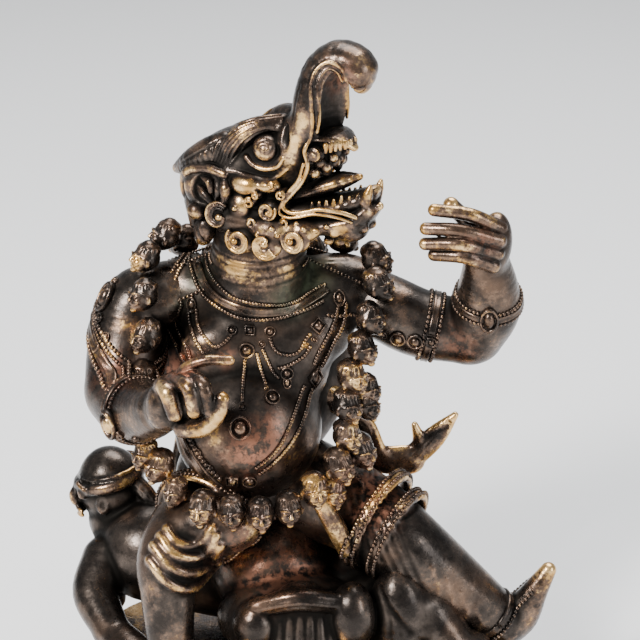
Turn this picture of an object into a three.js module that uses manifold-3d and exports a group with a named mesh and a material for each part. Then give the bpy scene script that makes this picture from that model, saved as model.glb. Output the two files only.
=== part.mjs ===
// A small cast bronze deity with the head of a makara, a water beast with an elephant's trunk. It
// sits astride a crawling man on an oval lotus plinth. Millimetres, +Z up, the front faces -Y.
// The origin is the middle of the plinth's underside.
import * as THREE from "three";
import { mergeVertices } from "three/addons/utils/BufferGeometryUtils.js";
import Module from "manifold-3d";

const wasm = await Module();
wasm.setup();

// Driving sizes of the plinth.
const plinthHalfLength = 60;
const plinthHalfDepth = 40;
const plinthHeight = 20;
const plinthSquareness = 2.5;
const petalCount = 24;
const gap = 0.3;
const seatGap = 1;

// The figures are laid out in a frame of their own, with the deity's spine near its middle. This
// moves them over the middle of the plinth.
const figureShift = [-4, 11, 0];

// Driving sizes of the figures, as heights and places in the figures' frame.
const floorZ = plinthHeight + gap;
const bellyCentre = [-11.5, -6, 84];
const bellyRadii = [20, 21, 21];
const headCentre = [-12, 1, 150];
const headYaw = -28;
const garlandHeads = 32;
const garlandHeadRadius = 4.5;
const cordRadius = 2;
const beadRadius = 1.3;
const jewelRadius = 2.1;

// How many triangles each piece keeps.
const deityTriangles = 7200;
const mountTriangles = 1500;
const plinthTriangles = 1200;

const bronze = new THREE.MeshStandardMaterial({ color: 0x5a4634, roughness: 0.34, metalness: 1 });
const darkBronze = new THREE.MeshStandardMaterial({ color: 0x4a4038, roughness: 0.4, metalness: 1 });
const giltBronze = new THREE.MeshStandardMaterial({ color: 0x6e5736, roughness: 0.36, metalness: 1 });

const upward = new THREE.Vector3(0, 0, 1);
const sides = [-1, 1];
const degrees = THREE.MathUtils.degToRad;

// Joining and cutting.

function toSolid(geometry) {
  const bare = geometry.clone();
  bare.deleteAttribute("normal");
  bare.deleteAttribute("uv");
  const merged = mergeVertices(bare, 1e-4);
  return new wasm.Manifold(
    new wasm.Mesh({
      numProp: 3,
      vertProperties: new Float32Array(merged.attributes.position.array),
      triVerts: new Uint32Array(merged.index.array),
    }),
  );
}

function toGeometry(solid) {
  const mesh = solid.getMesh();
  return meshGeometry(mesh.vertProperties, mesh.triVerts);
}

function meshGeometry(positions, index) {
  const geometry = new THREE.BufferGeometry();
  geometry.setAttribute("position", new THREE.Float32BufferAttribute(positions, 3));
  geometry.setIndex(Array.from(index));
  return geometry;
}

// Thinning. Overlapping forms leave many slivers where they meet. These functions take triangles
// away where they matter least, and fill any hollow that the forms close in between them.

// The squared distance to a triangle's plane, times its area, as the ten numbers of a quadric.
function planeQuadric(a, b, c) {
  const normal = new THREE.Vector3().crossVectors(b.clone().sub(a), c.clone().sub(a));
  const area = normal.length() / 2;
  normal.normalize();
  const { x, y, z } = normal;
  const d = -normal.dot(a);
  return [x * x, x * y, x * z, x * d, y * y, y * z, y * d, z * z, z * d, d * d].map((n) => n * area);
}

function quadricError(q, { x, y, z }) {
  const squares = q[0] * x * x + q[4] * y * y + q[7] * z * z + q[9];
  return squares + 2 * (q[1] * x * y + q[2] * x * z + q[3] * x + q[5] * y * z + q[6] * y + q[8] * z);
}

function faceNormal(a, b, c) {
  return new THREE.Vector3().crossVectors(b.clone().sub(a), c.clone().sub(a));
}

// The largest connected skin of a mesh, as a list of triangles.
function outerSkin(points, faces) {
  const parent = points.map((_, i) => i);
  const root = (i) => {
    while (parent[i] !== i) {
      parent[i] = parent[parent[i]];
      i = parent[i];
    }
    return i;
  };
  for (const [a, b, c] of faces) {
    parent[root(a)] = root(b);
    parent[root(b)] = root(c);
  }
  const groups = new Map();
  for (const face of faces) {
    const key = root(face[0]);
    if (!groups.has(key)) groups.set(key, []);
    groups.get(key).push(face);
  }
  const volume = (group) =>
    group.reduce((sum, [a, b, c]) => sum + points[a].dot(points[b].clone().cross(points[c])) / 6, 0);
  return [...groups.values()].sort((m, n) => volume(n) - volume(m))[0];
}

function thinned(solid, target) {
  const mesh = solid.getMesh();
  const points = [];
  for (let i = 0; i < mesh.vertProperties.length; i += 3) {
    points.push(new THREE.Vector3().fromArray(mesh.vertProperties, i));
  }
  let faces = [];
  for (let i = 0; i < mesh.triVerts.length; i += 3) {
    faces.push([mesh.triVerts[i], mesh.triVerts[i + 1], mesh.triVerts[i + 2]]);
  }
  faces = outerSkin(points, faces);
  const quadrics = points.map(() => new Array(10).fill(0));
  const around = points.map(() => new Set());
  for (const face of faces) {
    const quadric = planeQuadric(...face.map((v) => points[v]));
    for (const v of face) {
      quadric.forEach((n, k) => (quadrics[v][k] += n));
      around[v].add(face);
    }
  }
  const live = new Set(faces);
  const neighbours = (v) => new Set([...around[v]].flat().filter((n) => n !== v));
  const candidate = (u, v) => {
    const quadric = quadrics[u].map((n, k) => n + quadrics[v][k]);
    const middle = points[u].clone().lerp(points[v], 0.5);
    const length = points[u].distanceToSquared(points[v]);
    const costs = [middle, points[u], points[v]].map((p) => [quadricError(quadric, p), p]);
    const [cost, point] = costs.reduce((best, c) => (c[0] < best[0] ? c : best));
    return { u, v, point: point.clone(), cost: cost + 1e-4 * length, quadric };
  };
  const folds = (v, other, point) =>
    [...around[v]].some((face) => {
      if (face.includes(other)) return false;
      const before = faceNormal(...face.map((n) => points[n]));
      const after = faceNormal(...face.map((n) => (n === v ? point : points[n])));
      return before.dot(after) <= 0.25 * before.length() * after.length();
    });
  const collapse = ({ u, v, point, quadric }) => {
    points[u] = point;
    quadrics[u] = quadric;
    for (const face of [...around[v]]) {
      if (face.includes(u)) {
        live.delete(face);
        face.forEach((n) => around[n].delete(face));
      } else {
        face[face.indexOf(v)] = u;
        around[u].add(face);
      }
    }
    around[v].clear();
  };
  let changed = true;
  while (live.size > target && changed) {
    changed = false;
    const edges = [];
    for (const face of live) {
      for (let k = 0; k < 3; k += 1) {
        const u = face[k];
        const v = face[(k + 1) % 3];
        if (u < v) edges.push(candidate(u, v));
      }
    }
    edges.sort((m, n) => m.cost - n.cost);
    const touched = new Set();
    for (const edge of edges.slice(0, Math.ceil(edges.length / 4))) {
      const { u, v, point } = edge;
      if (live.size <= target) break;
      if (touched.has(u) || touched.has(v)) continue;
      const nearU = neighbours(u);
      const shared = [...neighbours(v)].filter((n) => nearU.has(n));
      if (shared.length !== 2 || folds(u, v, point) || folds(v, u, point)) continue;
      collapse(edge);
      changed = true;
      neighbours(u).forEach((n) => touched.add(n));
    }
  }
  const used = new Map();
  const index = [...live].flat().map((v) => {
    if (!used.has(v)) used.set(v, used.size);
    return used.get(v);
  });
  return meshGeometry([...used.keys()].flatMap((v) => points[v].toArray()), index);
}

function joined(geometries) {
  return geometries.map(toSolid).reduce((whole, solid) => whole.add(solid));
}

// Basic forms.

// An egg shape. The turn is in degrees about X, Y and Z.
function egg(centre, radii, turn = [0, 0, 0], around = 10, rows = 7) {
  const geometry = new THREE.SphereGeometry(1, around, rows);
  geometry.rotateX(Math.PI / 2);
  geometry.scale(...radii);
  geometry.applyMatrix4(
    new THREE.Matrix4().makeRotationFromEuler(new THREE.Euler(...turn.map(degrees))),
  );
  return geometry.translate(...centre);
}

function ball(centre, radius, around = 7, rows = 5) {
  return egg(centre, [radius, radius, radius], [0, 0, 0], around, rows);
}

// The value between the stops of a list, at a share of the way along it.
function between(values, share) {
  const place = share * (values.length - 1);
  const low = Math.min(Math.floor(place), values.length - 2);
  return THREE.MathUtils.lerp(values[low], values[low + 1], place - low);
}

// A round bar that tapers along a smooth line, with domed ends. Each stop is x, y, z, its half
// thickness and, where the bar is flat, its half width. The thickness lies along "thin", which is
// never in line with the bar.
function limb(stops, { around = 8, steps = 6, thin = upward } = {}) {
  const curve = new THREE.CatmullRomCurve3(stops.map((s) => new THREE.Vector3(s[0], s[1], s[2])));
  const thicknesses = stops.map((s) => s[3]);
  const widths = stops.map((s) => s[4] ?? s[3]);
  const positions = [];
  const domeShare = 0.72;
  const domeReach = 0.62;
  let normal = thin.clone();
  const ring = (centre, across, out, halfWidth, halfThickness) => {
    for (let k = 0; k < around; k += 1) {
      const angle = (2 * Math.PI * k) / around;
      const point = centre
        .clone()
        .addScaledVector(across, halfWidth * Math.cos(angle))
        .addScaledVector(out, halfThickness * Math.sin(angle));
      positions.push(point.x, point.y, point.z);
    }
  };
  const rings = [];
  for (let i = 0; i <= steps; i += 1) {
    const share = i / steps;
    const tangent = curve.getTangent(share).normalize();
    normal = normal.clone().addScaledVector(tangent, -normal.dot(tangent)).normalize();
    const across = new THREE.Vector3().crossVectors(tangent, normal);
    rings.push({
      centre: curve.getPoint(share),
      tangent,
      across,
      normal,
      width: between(widths, share),
      thickness: between(thicknesses, share),
    });
  }
  const dome = (end, direction) => {
    const depth = Math.min(end.width, end.thickness);
    const centre = end.centre.clone().addScaledVector(end.tangent, direction * depth * domeReach);
    return {
      ...end,
      centre,
      tip: end.centre.clone().addScaledVector(end.tangent, direction * depth),
      width: end.width * domeShare,
      thickness: end.thickness * domeShare,
    };
  };
  const first = dome(rings[0], -1);
  const last = dome(rings[steps], 1);
  const all = [first, ...rings, last];
  all.forEach((r) => ring(r.centre, r.across, r.normal, r.width, r.thickness));
  const index = [];
  for (let i = 0; i + 1 < all.length; i += 1) {
    for (let k = 0; k < around; k += 1) {
      const a = i * around + k;
      const b = i * around + ((k + 1) % around);
      index.push(a, a + around, b, b, a + around, b + around);
    }
  }
  const startTip = positions.length / 3;
  positions.push(first.tip.x, first.tip.y, first.tip.z, last.tip.x, last.tip.y, last.tip.z);
  const lastRing = (all.length - 1) * around;
  for (let k = 0; k < around; k += 1) {
    const next = (k + 1) % around;
    index.push(startTip, k, next, startTip + 1, lastRing + next, lastRing + k);
  }
  const geometry = new THREE.BufferGeometry();
  geometry.setAttribute("position", new THREE.Float32BufferAttribute(positions, 3));
  geometry.setIndex(index);
  return geometry;
}

// A ring around an axis, such as a bangle or a hem.
function hoop(centre, axis, radius, thickness, around = 5, steps = 14) {
  const geometry = new THREE.TorusGeometry(radius, thickness, around, steps);
  const turn = new THREE.Quaternion().setFromUnitVectors(upward, axis.clone().normalize());
  return geometry.applyQuaternion(turn).translate(...centre);
}

function direction(from, to) {
  return new THREE.Vector3(to[0] - from[0], to[1] - from[1], to[2] - from[2]).normalize();
}

// The torso, which carries the jewellery.

function torsoForms() {
  return [
    egg(bellyCentre, bellyRadii, [0, 0, 0], 18, 13),
    egg([-9.5, -1, 108], [20, 15, 17], [0, 0, 0], 16, 10),
    egg([-9, 2, 119], [28, 12, 11.5], [0, 0, 0], 16, 8),
    egg([-10, 6, 92], [24, 14, 33], [0, 0, 0], 14, 8),
    egg([-10, 9, 98], [28, 8, 36], [0, 0, 0], 14, 8),
    limb(
      [
        [-9, 0, 120, 15],
        [-8.5, -1, 128, 13.8],
        [-8, -1, 138, 13],
        [-9, 0, 146, 12],
      ],
      { around: 14, steps: 4, thin: new THREE.Vector3(0, 1, 0) },
    ),
  ];
}

const torsoSurface = new THREE.Mesh(toGeometry(joined(torsoForms())));
const ray = new THREE.Raycaster();

// Where a line from outside meets the torso: the first hit, or null.
function touch(from, towards) {
  ray.set(from, towards.clone().normalize());
  return ray.intersectObject(torsoSurface)[0]?.point ?? null;
}

function onFront(x, z) {
  return touch(new THREE.Vector3(x, -100, z), new THREE.Vector3(0, 1, 0));
}

// A string of beads that hangs over the front of the torso through a few x, z places.
function strand(places, radius = beadRadius, steps = 8) {
  const line = new THREE.CatmullRomCurve3(places.map(([x, z]) => new THREE.Vector3(x, 0, z)));
  const stops = [];
  for (const point of line.getPoints(steps)) {
    const hit = onFront(point.x, point.z);
    if (hit) stops.push([hit.x, hit.y - 0.3 * radius, hit.z, radius]);
  }
  return limb(stops, { around: 4, steps, thin: new THREE.Vector3(0, 1, 0) });
}

function jewel(x, z, radius = jewelRadius) {
  const hit = onFront(x, z);
  return egg([hit.x, hit.y, hit.z], [radius, radius * 0.8, radius], [0, 0, 0], 7, 4);
}

// A collar lies where a tilted cone around the neck meets the chest and shoulders.
function collar(apexHeight, frontDrop, backDrop, width, thickness) {
  const apex = new THREE.Vector3(-8.8, 0, apexHeight);
  const turns = 20;
  const stops = [];
  for (let k = 0; k < turns; k += 1) {
    const angle = (2 * Math.PI * k) / turns;
    const drop = THREE.MathUtils.lerp(backDrop, frontDrop, (1 + Math.cos(angle)) / 2);
    const outward = new THREE.Vector3(Math.sin(angle), -Math.cos(angle), -drop);
    const from = apex.clone().addScaledVector(outward, 60);
    const hit = touch(from, outward.clone().negate());
    stops.push(hit ?? apex);
  }
  return closedBand(new THREE.CatmullRomCurve3(stops, true), turns, width, thickness, apex);
}

// A closed band along a path that runs around a centre.
function closedBand(path, turns, width, thickness, centre) {
  const around = 5;
  const positions = [];
  const index = [];
  for (let i = 0; i < turns; i += 1) {
    const share = i / turns;
    const point = path.getPointAt(share);
    const tangent = path.getTangentAt(share);
    const outward = point.clone().sub(centre);
    outward.addScaledVector(tangent, -outward.dot(tangent)).normalize();
    const lift = new THREE.Vector3().crossVectors(tangent, outward);
    for (let k = 0; k < around; k += 1) {
      const angle = (2 * Math.PI * k) / around;
      const corner = point
        .clone()
        .addScaledVector(outward, width * Math.cos(angle))
        .addScaledVector(lift, thickness * Math.sin(angle));
      positions.push(corner.x, corner.y, corner.z);
      const a = i * around + k;
      const b = i * around + ((k + 1) % around);
      const c = ((i + 1) % turns) * around + k;
      const d = ((i + 1) % turns) * around + ((k + 1) % around);
      index.push(a, b, c, b, d, c);
    }
  }
  const geometry = new THREE.BufferGeometry();
  geometry.setAttribute("position", new THREE.Float32BufferAttribute(positions, 3));
  geometry.setIndex(index);
  return geometry;
}

// Jewellery on the chest and belly.
function jewellery() {
  return [
    collar(134, 0.96, 0.35, 1.6, 1.6),
    collar(136, 0.6, 0.2, 1.2, 1.2),
    strand([
      [-26, 124],
      [-24, 112],
      [-16, 105],
      [-10, 108],
    ]),
    strand([
      [9, 121],
      [8, 111],
      [0, 106],
      [-10, 108],
    ]),
    strand([
      [-29, 116],
      [-27, 102],
      [-20, 95],
    ]),
    strand(
      [
        [2, 106],
        [6, 96],
        [4, 85],
        [-4, 78],
        [-13, 77],
      ],
      1.3,
      10,
    ),
    strand(
      [
        [-29, 90],
        [-26, 82],
        [-20, 77.5],
        [-13, 77],
      ],
      1.3,
      8,
    ),
    strand([
      [-12, 106],
      [-13.6, 92],
    ]),
    strand([
      [-6, 106],
      [-5, 99],
    ]),
    jewel(-11.6, 108.5, 2.8),
    jewel(-13.6, 91.5, 3),
    jewel(-5, 98.5, 2.4),
    jewel(3.5, 106, 2.4),
    jewel(-13.9, 77.3, 2.8),
    jewel(-13.2, 83.8, 1.4),
  ];
}

// The arms. Right and left are the deity's own, so its right arm is at -X.

const rightUpperArm = [
  [-34, 4, 122, 9.5],
  [-42.1, 3, 116.7, 9.6],
  [-44.3, 0, 104.8, 10.5],
  [-45.8, -6, 95, 9.8],
];
const rightForearm = [
  [-45.6, -8, 93.6, 9.4],
  [-42, -15, 92.6, 9.2],
  [-37.6, -23, 95, 8],
  [-33.6, -31, 98.8, 6.6],
];
const leftUpperArm = [
  [12, 2, 121, 9.5],
  [25.6, 2, 114.7, 9.4],
  [35.1, 1, 110.7, 9.3],
  [47, 0, 108.6, 8.6],
];
const leftForearm = [
  [49.2, -1, 109, 8.8],
  [52.4, -4, 116.9, 9.2],
  [52.6, -7, 123.6, 8],
  [51.9, -10, 131, 6.2],
];

function finger(stops, radius) {
  return limb(
    stops.map((s, i) => [...s, radius * (1 - 0.08 * i)]),
    { around: 6, steps: 4 },
  );
}

function rightHand() {
  return [
    egg([-30.4, -36.5, 103], [6.2, 6.4, 8], [0, 20, 0], 9, 6),
    finger([[-27, -41, 97.6], [-21.6, -45, 99.3], [-17.9, -46, 103.3], [-16.6, -46, 107.6]], 2.7),
    finger([[-29, -38, 109.5], [-25, -45, 110.4], [-23.6, -46, 104.4]], 2.5),
    finger([[-26, -38, 111], [-21.4, -45.4, 111], [-19.9, -45.6, 104.4]], 2.3),
    finger([[-32, -38, 108], [-30.4, -43, 108], [-28.8, -43.6, 102.6]], 2.6),
    finger([[-29, -37, 108.6], [-25.6, -39, 113.4], [-20.6, -40, 115.9], [-14.4, -40, 116.1]], 2.1),
  ];
}

function leftHand() {
  const knuckles = [
    [54.5, -16, 143.1],
    [54.2, -18, 140.3],
    [53.8, -18, 137],
    [52.8, -18, 133.6],
  ];
  const middles = [
    [46.5, -19, 147.6],
    [43.9, -21, 144],
    [43.9, -22, 140.6],
    [45.3, -21, 136.9],
  ];
  const tips = [
    [37.3, -18, 148.6],
    [35.2, -19, 143.9],
    [35.1, -19, 139.8],
    [37.5, -18, 136.5],
  ];
  const palm = [
    egg([53.4, -13.5, 138], [4.6, 5.4, 8.6], [0, 5, 0], 9, 6),
    finger([[51, -10, 136], [47, -9, 142], [42, -11.5, 148]], 2.5),
  ];
  return palm.concat(knuckles.map((k, i) => finger([k, middles[i], tips[i]], 2.15)));
}

function armJewellery() {
  const rightAxis = direction(rightUpperArm[1], rightUpperArm[2]);
  const leftAxis = direction(leftUpperArm[1], leftUpperArm[3]);
  const rightWristAxis = direction(rightForearm[1], rightForearm[2]);
  const leftWristAxis = direction(leftForearm[1], leftForearm[2]);
  return [
    hoop([-44, 1.4, 108.4], rightAxis, 10.1, 1.4),
    egg([-50.8, -2, 116.4], [3.4, 3.2, 5.2], [0, -18, 0], 7, 5),
    hoop([-40.6, -17.5, 93.3], rightWristAxis, 8.7, 1.4),
    egg([-47, -16, 86.4], [3, 3, 3], [0, 0, 0], 7, 4),
    egg([-40, -22, 85.6], [2.6, 2.6, 2.6], [0, 0, 0], 7, 4),
    hoop([36.6, 0.8, 110.4], leftAxis, 9.2, 1.4),
    hoop([40, 0.8, 110], leftAxis, 9, 1.2),
    egg([34, -6, 102.4], [2.8, 2.8, 3], [0, 0, 0], 7, 4),
    egg([40, -7.6, 103.4], [2.8, 2.8, 3], [0, 0, 0], 7, 4),
    hoop([52.5, -5.6, 120.4], leftWristAxis, 9, 1.3),
    egg([54, -14.4, 118.4], [4, 2.6, 4.4], [0, 0, 0], 7, 5),
  ];
}

// The garland of little heads, spaced evenly along a line from shoulder to shoulder.

const garlandLine = [
  [-27, 9, 134],
  [-36, 2, 131],
  [-38.5, -7, 124],
  [-37, -12, 112],
  [-36.6, -10, 97],
  [-36.6, -14, 82],
  [-32.5, -22, 73.5],
  [-21, -29, 70.8],
  [-7.2, -32, 71],
  [6, -28, 73],
  [13.6, -20, 84],
  [14.6, -16, 98],
  [19.6, -11.5, 115],
  [21.6, -6, 127],
  [14, 7, 130],
  [2, 14, 124],
  [-12, 16, 121],
];

// A few more heads hang behind the front row on the left side.
const secondRow = [
  [24, -3, 112],
  [22.6, -5, 103.6],
  [21, -8, 95],
  [20, -10, 87],
];

function garlandHead(centre, outward) {
  const r = garlandHeadRadius;
  const face = centre.clone().addScaledVector(outward, r * 0.62);
  const knot = centre.clone().add(new THREE.Vector3(0, 0, r * 0.95)).addScaledVector(outward, -0.5);
  return [
    egg(centre.toArray(), [r, r, r * 1.14], [0, 0, 0], 7, 5),
    egg([face.x, face.y, face.z - 0.12 * r], [r * 0.56, r * 0.56, r * 0.7], [0, 0, 0], 6, 4),
    egg(knot.toArray(), [r * 0.56, r * 0.56, r * 0.42], [0, 0, 0], 5, 3),
  ];
}

function garland() {
  const line = new THREE.CatmullRomCurve3(
    garlandLine.map((p) => new THREE.Vector3(...p)),
    true,
  );
  const middle = new THREE.Vector3(-10, 0, 100);
  const forms = [closedBand(line, 2 * garlandHeads, cordRadius, cordRadius, middle)];
  const outwardAt = (p) => new THREE.Vector3(p.x - middle.x, p.y - middle.y, 0).normalize();
  for (let i = 0; i < garlandHeads; i += 1) {
    const centre = line.getPointAt(i / garlandHeads);
    forms.push(...garlandHead(centre, outwardAt(centre)));
  }
  for (const [x, y, z] of secondRow) {
    const centre = new THREE.Vector3(x, y, z);
    forms.push(...garlandHead(centre, outwardAt(centre)));
  }
  return forms;
}

// The makara head, laid out looking along +X with its chin down, then turned on the neck.

const headFrame = new THREE.Matrix4()
  .makeRotationZ(degrees(headYaw))
  .setPosition(...headCentre);

const trunkLine = [
  [17, 0, 17, 7.4, 9.5],
  [19.4, 0, 24, 5.2, 8.8],
  [20.4, 0, 30, 4.6, 7.6],
  [22.3, 0, 35.4, 4, 6.4],
  [27, 0, 38.4, 3.9, 5.6],
  [32, 0, 37.8, 4.2, 5.2],
  [35.2, 0, 34.4, 4.2, 4.8],
  [34.4, 0, 31, 3.6, 4.2],
];
const jawLine = [
  [6, 0, -4, 5, 10],
  [16, 0, -6, 4, 9.4],
  [26, 0, -6.4, 3.4, 8.2],
  [34, 0, -4.4, 3.2, 6.6],
  [38, 0, -1, 2.6, 5.4],
];
const tongueLine = [
  [16, 0, -1, 1.6, 5.5],
  [23, 0, 1.4, 1.5, 5.4],
  [28, 0, 3.6, 1.4, 4.4],
  [33.6, 0, 5, 0.9, 1.6],
];

// A curl of beard or hair: a ring with a boss in it, on the side of the head.
function curl(x, y, z, radius, side) {
  const axis = new THREE.Vector3(0.15, side, -0.1);
  return [
    hoop([x, side * y, z], axis, radius * 0.72, radius * 0.32, 5, 9),
    ball([x, side * y, z], radius * 0.56, 6, 4),
  ];
}

function headSide(side) {
  const curls = [
    [-1.1, 11.8, -4.2, 4.6],
    [5.4, 11, -9.6, 4.7],
    [13.2, 9.8, -11, 4.5],
    [20.4, 8.4, -9.2, 4.1],
    [14.1, 11.2, -1.9, 4.8],
  ];
  const s = side;
  return [
    ball([11.4, s * 9.2, 14], 3.7, 8, 6),
    limb([[-1, s * 11.6, 8, 2.2], [3.2, s * 11.8, 15, 2.4], [8, s * 9.6, 19.6, 2.6], [14.4, s * 6, 21, 2]]),
    limb([[4, s * 11.4, 8.6, 2], [10, s * 11.4, 9.4, 2.2], [17, s * 9.4, 12.4, 2.2]], { steps: 4 }),
    limb([[0.6, s * 11.4, 8, 2.8, 3], [-4.6, s * 12.2, 2.4, 2.4, 4], [-9.4, s * 11.6, -4.4, 1, 1.4]]),
    limb([[-5, s * 7, 11, 4.4], [-12, s * 6.4, 8, 3.8], [-18.4, s * 5, 3.2, 1.6]], { steps: 4 }),
    egg([7.4, s * 9.4, 1.8], [6.4, 4.8, 5], [0, 0, 0], 8, 5),
    limb([[22.6, s * 6.8, 13, 2.4], [23.6, s * 6.8, 20, 2.4], [23.4, s * 6, 28, 2.2], [24.6, s * 4.8, 33.6, 1.8]]),
    limb([[31.6, s * 4.2, 15.8, 1.4], [32, s * 4.4, 12.8, 0.9]], { around: 5, steps: 1 }),
    limb([[37.4, s * 3, 0, 1.4], [38.6, s * 3.4, 4, 0.8]], { around: 5, steps: 1 }),
    limb([[20, s * 7.2, -3.6, 1.7], [28, s * 6.6, -3.6, 1.6], [36, s * 4.4, 0, 1.5]], { around: 6, steps: 4 }),
    ...curls.flatMap(([x, y, z, radius]) => curl(x, y, z, radius, s)),
  ];
}

function headSolid() {
  const inHead = (geometry) => geometry.applyMatrix4(headFrame);
  const flatUp = { around: 10, steps: 6 };
  const skull = [
    egg([-1, 0, 4], [18, 12.6, 12], [0, -25, 0], 14, 9),
    egg([12, 0, 9.6], [11, 10.4, 11], [0, 0, 0], 12, 8),
    egg([6, 0, -3], [14, 11, 8.6], [0, 0, 0], 12, 7),
    egg([27, 0, 15.4], [6.6, 7.2, 3.4], [0, -8, 0], 10, 5),
    limb(trunkLine, { around: 10, steps: 12, thin: new THREE.Vector3(1, 0, 0) }),
  ].map(inHead);
  const cuts = [egg([28, 0, 6.4], [9.4, 14, 6], [0, -6, 0], 12, 8)].map(inHead);
  const lower = [
    limb(jawLine, flatUp),
    limb(tongueLine, { around: 6, steps: 5 }),
    limb([[24, 0, 5, 2.4, 6], [17, 0, 5, 4, 7]], { around: 8, steps: 1 }),
  ].map(inHead);
  const details = sides.flatMap(headSide).map(inHead);
  return joined(skull).subtract(joined(cuts)).add(joined(lower)).add(joined(details));
}

// The lower body. "grow" thickens every form, which leaves room around it in the man it sits on.

function grown(stops, grow) {
  return stops.map(([x, y, z, ...radii]) => [x, y, z, ...radii.map((r) => r + grow)]);
}

const rightLeg = [
  [-17, -4, 62, 12.5],
  [-27, -20, 60, 10.5],
  [-32, -28, 54, 9],
  [-32.6, -31, 46, 7.4],
  [-32.2, -33, 34.2, 6.4],
  [-32, -33, 28, 5.4],
];
const rightFoot = [
  [-31.6, -28, 24.2, 3.9, 5],
  [-32.6, -37, 24, 3.7, 5.4],
  [-34, -46, 23, 2.6, 5],
];
const leftLeg = [
  [4, -2, 64, 13.5],
  [20, -12, 60, 12],
  [31, -18, 53.6, 10.6],
  [43.6, -17, 42, 9.2],
  [52, -16, 34.6, 7.8],
  [58.6, -14.6, 28.4, 6.6],
];
const leftBoot = [
  [60.5, -12, 25.4, 4.8],
  [63.4, -14, 30.6, 5.2],
  [67, -15, 38, 3.6],
  [70.6, -15, 44.6, 2.2],
];

function lowerBody(grow) {
  return [
    egg([-12, 2, 66], [20 + grow, 17 + grow, 16 + grow], [0, 0, 0], 14, 8),
    limb(grown(rightLeg, grow), { around: 10, steps: 8, thin: new THREE.Vector3(1, 0, 0) }),
    limb(grown(rightFoot, grow), { around: 8, steps: 4 }),
    limb(grown(leftLeg, grow), { around: 10, steps: 8, thin: new THREE.Vector3(0, 1, 0) }),
    limb(grown(leftBoot, grow), { around: 8, steps: 4, thin: new THREE.Vector3(0, 1, 0) }),
  ];
}

// Skirt cloths over the thighs, with pleats that run down from the waist to a beaded hem.
function skirt(grow) {
  const forms = [];
  const rightHem = { centre: [-24, -17, 61.5], axis: direction([-17, -4, 63], [-28, -24, 60]) };
  const leftHem = { centre: [24, -13, 59], axis: direction([10, -6, 63], [30, -17, 55]) };
  forms.push(hoop(rightHem.centre, rightHem.axis, 12.4, 1.5 + grow, 5, 16));
  forms.push(hoop(leftHem.centre, leftHem.axis, 13.4, 1.7 + grow, 5, 16));
  forms.push(hoop([29, -15.5, 56], leftHem.axis, 12, 1.5 + grow, 5, 16));
  forms.push(egg([-20, -25, 63], [13 + grow, 9 + grow, 9 + grow], [0, 0, 0], 12, 7));
  const pleats = 7;
  for (let i = 0; i < pleats; i += 1) {
    const share = i / (pleats - 1);
    const angle = THREE.MathUtils.lerp(degrees(20), degrees(160), share);
    const x = -12 - 19 * Math.cos(angle);
    const y = 2 + 17 * Math.sin(angle);
    forms.push(
      limb(grown([[x, y, 74, 2.6], [x * 1.06, y + 2.2, 62, 3], [x * 1.1, y + 2.6, 52.5, 2.4]], grow), {
        around: 6,
        steps: 3,
        thin: new THREE.Vector3(0, 1, 0),
      }),
    );
  }
  const folds = [
    [-29, -33, 62, -25],
    [-23, -35, 59, -8],
    [-16, -34, 61, 14],
  ];
  for (const [x, y, z, lean] of folds) {
    forms.push(egg([x, y, z], [3.4 + grow, 3 + grow, 8 + grow], [0, lean, 0], 7, 5));
  }
  return forms;
}

// The sash end that flies out behind the left hip and parts into two tips.
function sash() {
  const thin = new THREE.Vector3(0.2, 1, 0);
  return [
    limb(
      [[2, 4, 92, 3, 4], [12, 5, 87, 2.4, 3.8], [19.7, 6, 78.8, 2, 3.6], [24, 7.4, 68.6, 1.8, 4.2], [33.2, 8, 67.4, 1.8, 4.4]],
      { steps: 8, thin },
    ),
    limb([[33.2, 8, 67.4, 1.8, 3], [36, 8, 72, 1.6, 2.4], [34.4, 8, 78, 1, 1]], { around: 7, steps: 4, thin }),
    limb([[33.2, 8, 67.4, 1.8, 3.4], [40, 8, 74.4, 1.7, 3.2], [45.6, 8, 81, 1, 1]], { around: 7, steps: 4, thin }),
  ];
}

// A tassel that hangs from the garland over the left thigh.
function tassel(grow) {
  const stops = [
    [8, -28, 71, 2.2],
    [12.6, -26.5, 62, 2.8],
    [14.7, -25, 55.4, 2],
  ];
  return limb(grown(stops, grow), { around: 7, steps: 4, thin: new THREE.Vector3(0, 1, 0) });
}

function deitySolid() {
  const arms = [rightUpperArm, rightForearm, leftUpperArm, leftForearm].map((stops) =>
    limb(stops, { around: 10, steps: 5, thin: new THREE.Vector3(0, 1, 0) }),
  );
  const body = joined([...torsoForms(), ...arms, ...lowerBody(0)]);
  const hands = joined([...rightHand(), ...leftHand()]);
  const dress = joined([...skirt(0), tassel(0), ...sash(), ...armJewellery(), ...jewellery(), ...garland()]);
  return body.add(hands).add(dress).add(headSolid());
}

// The crawling man under the deity, his head at -X.

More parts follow.
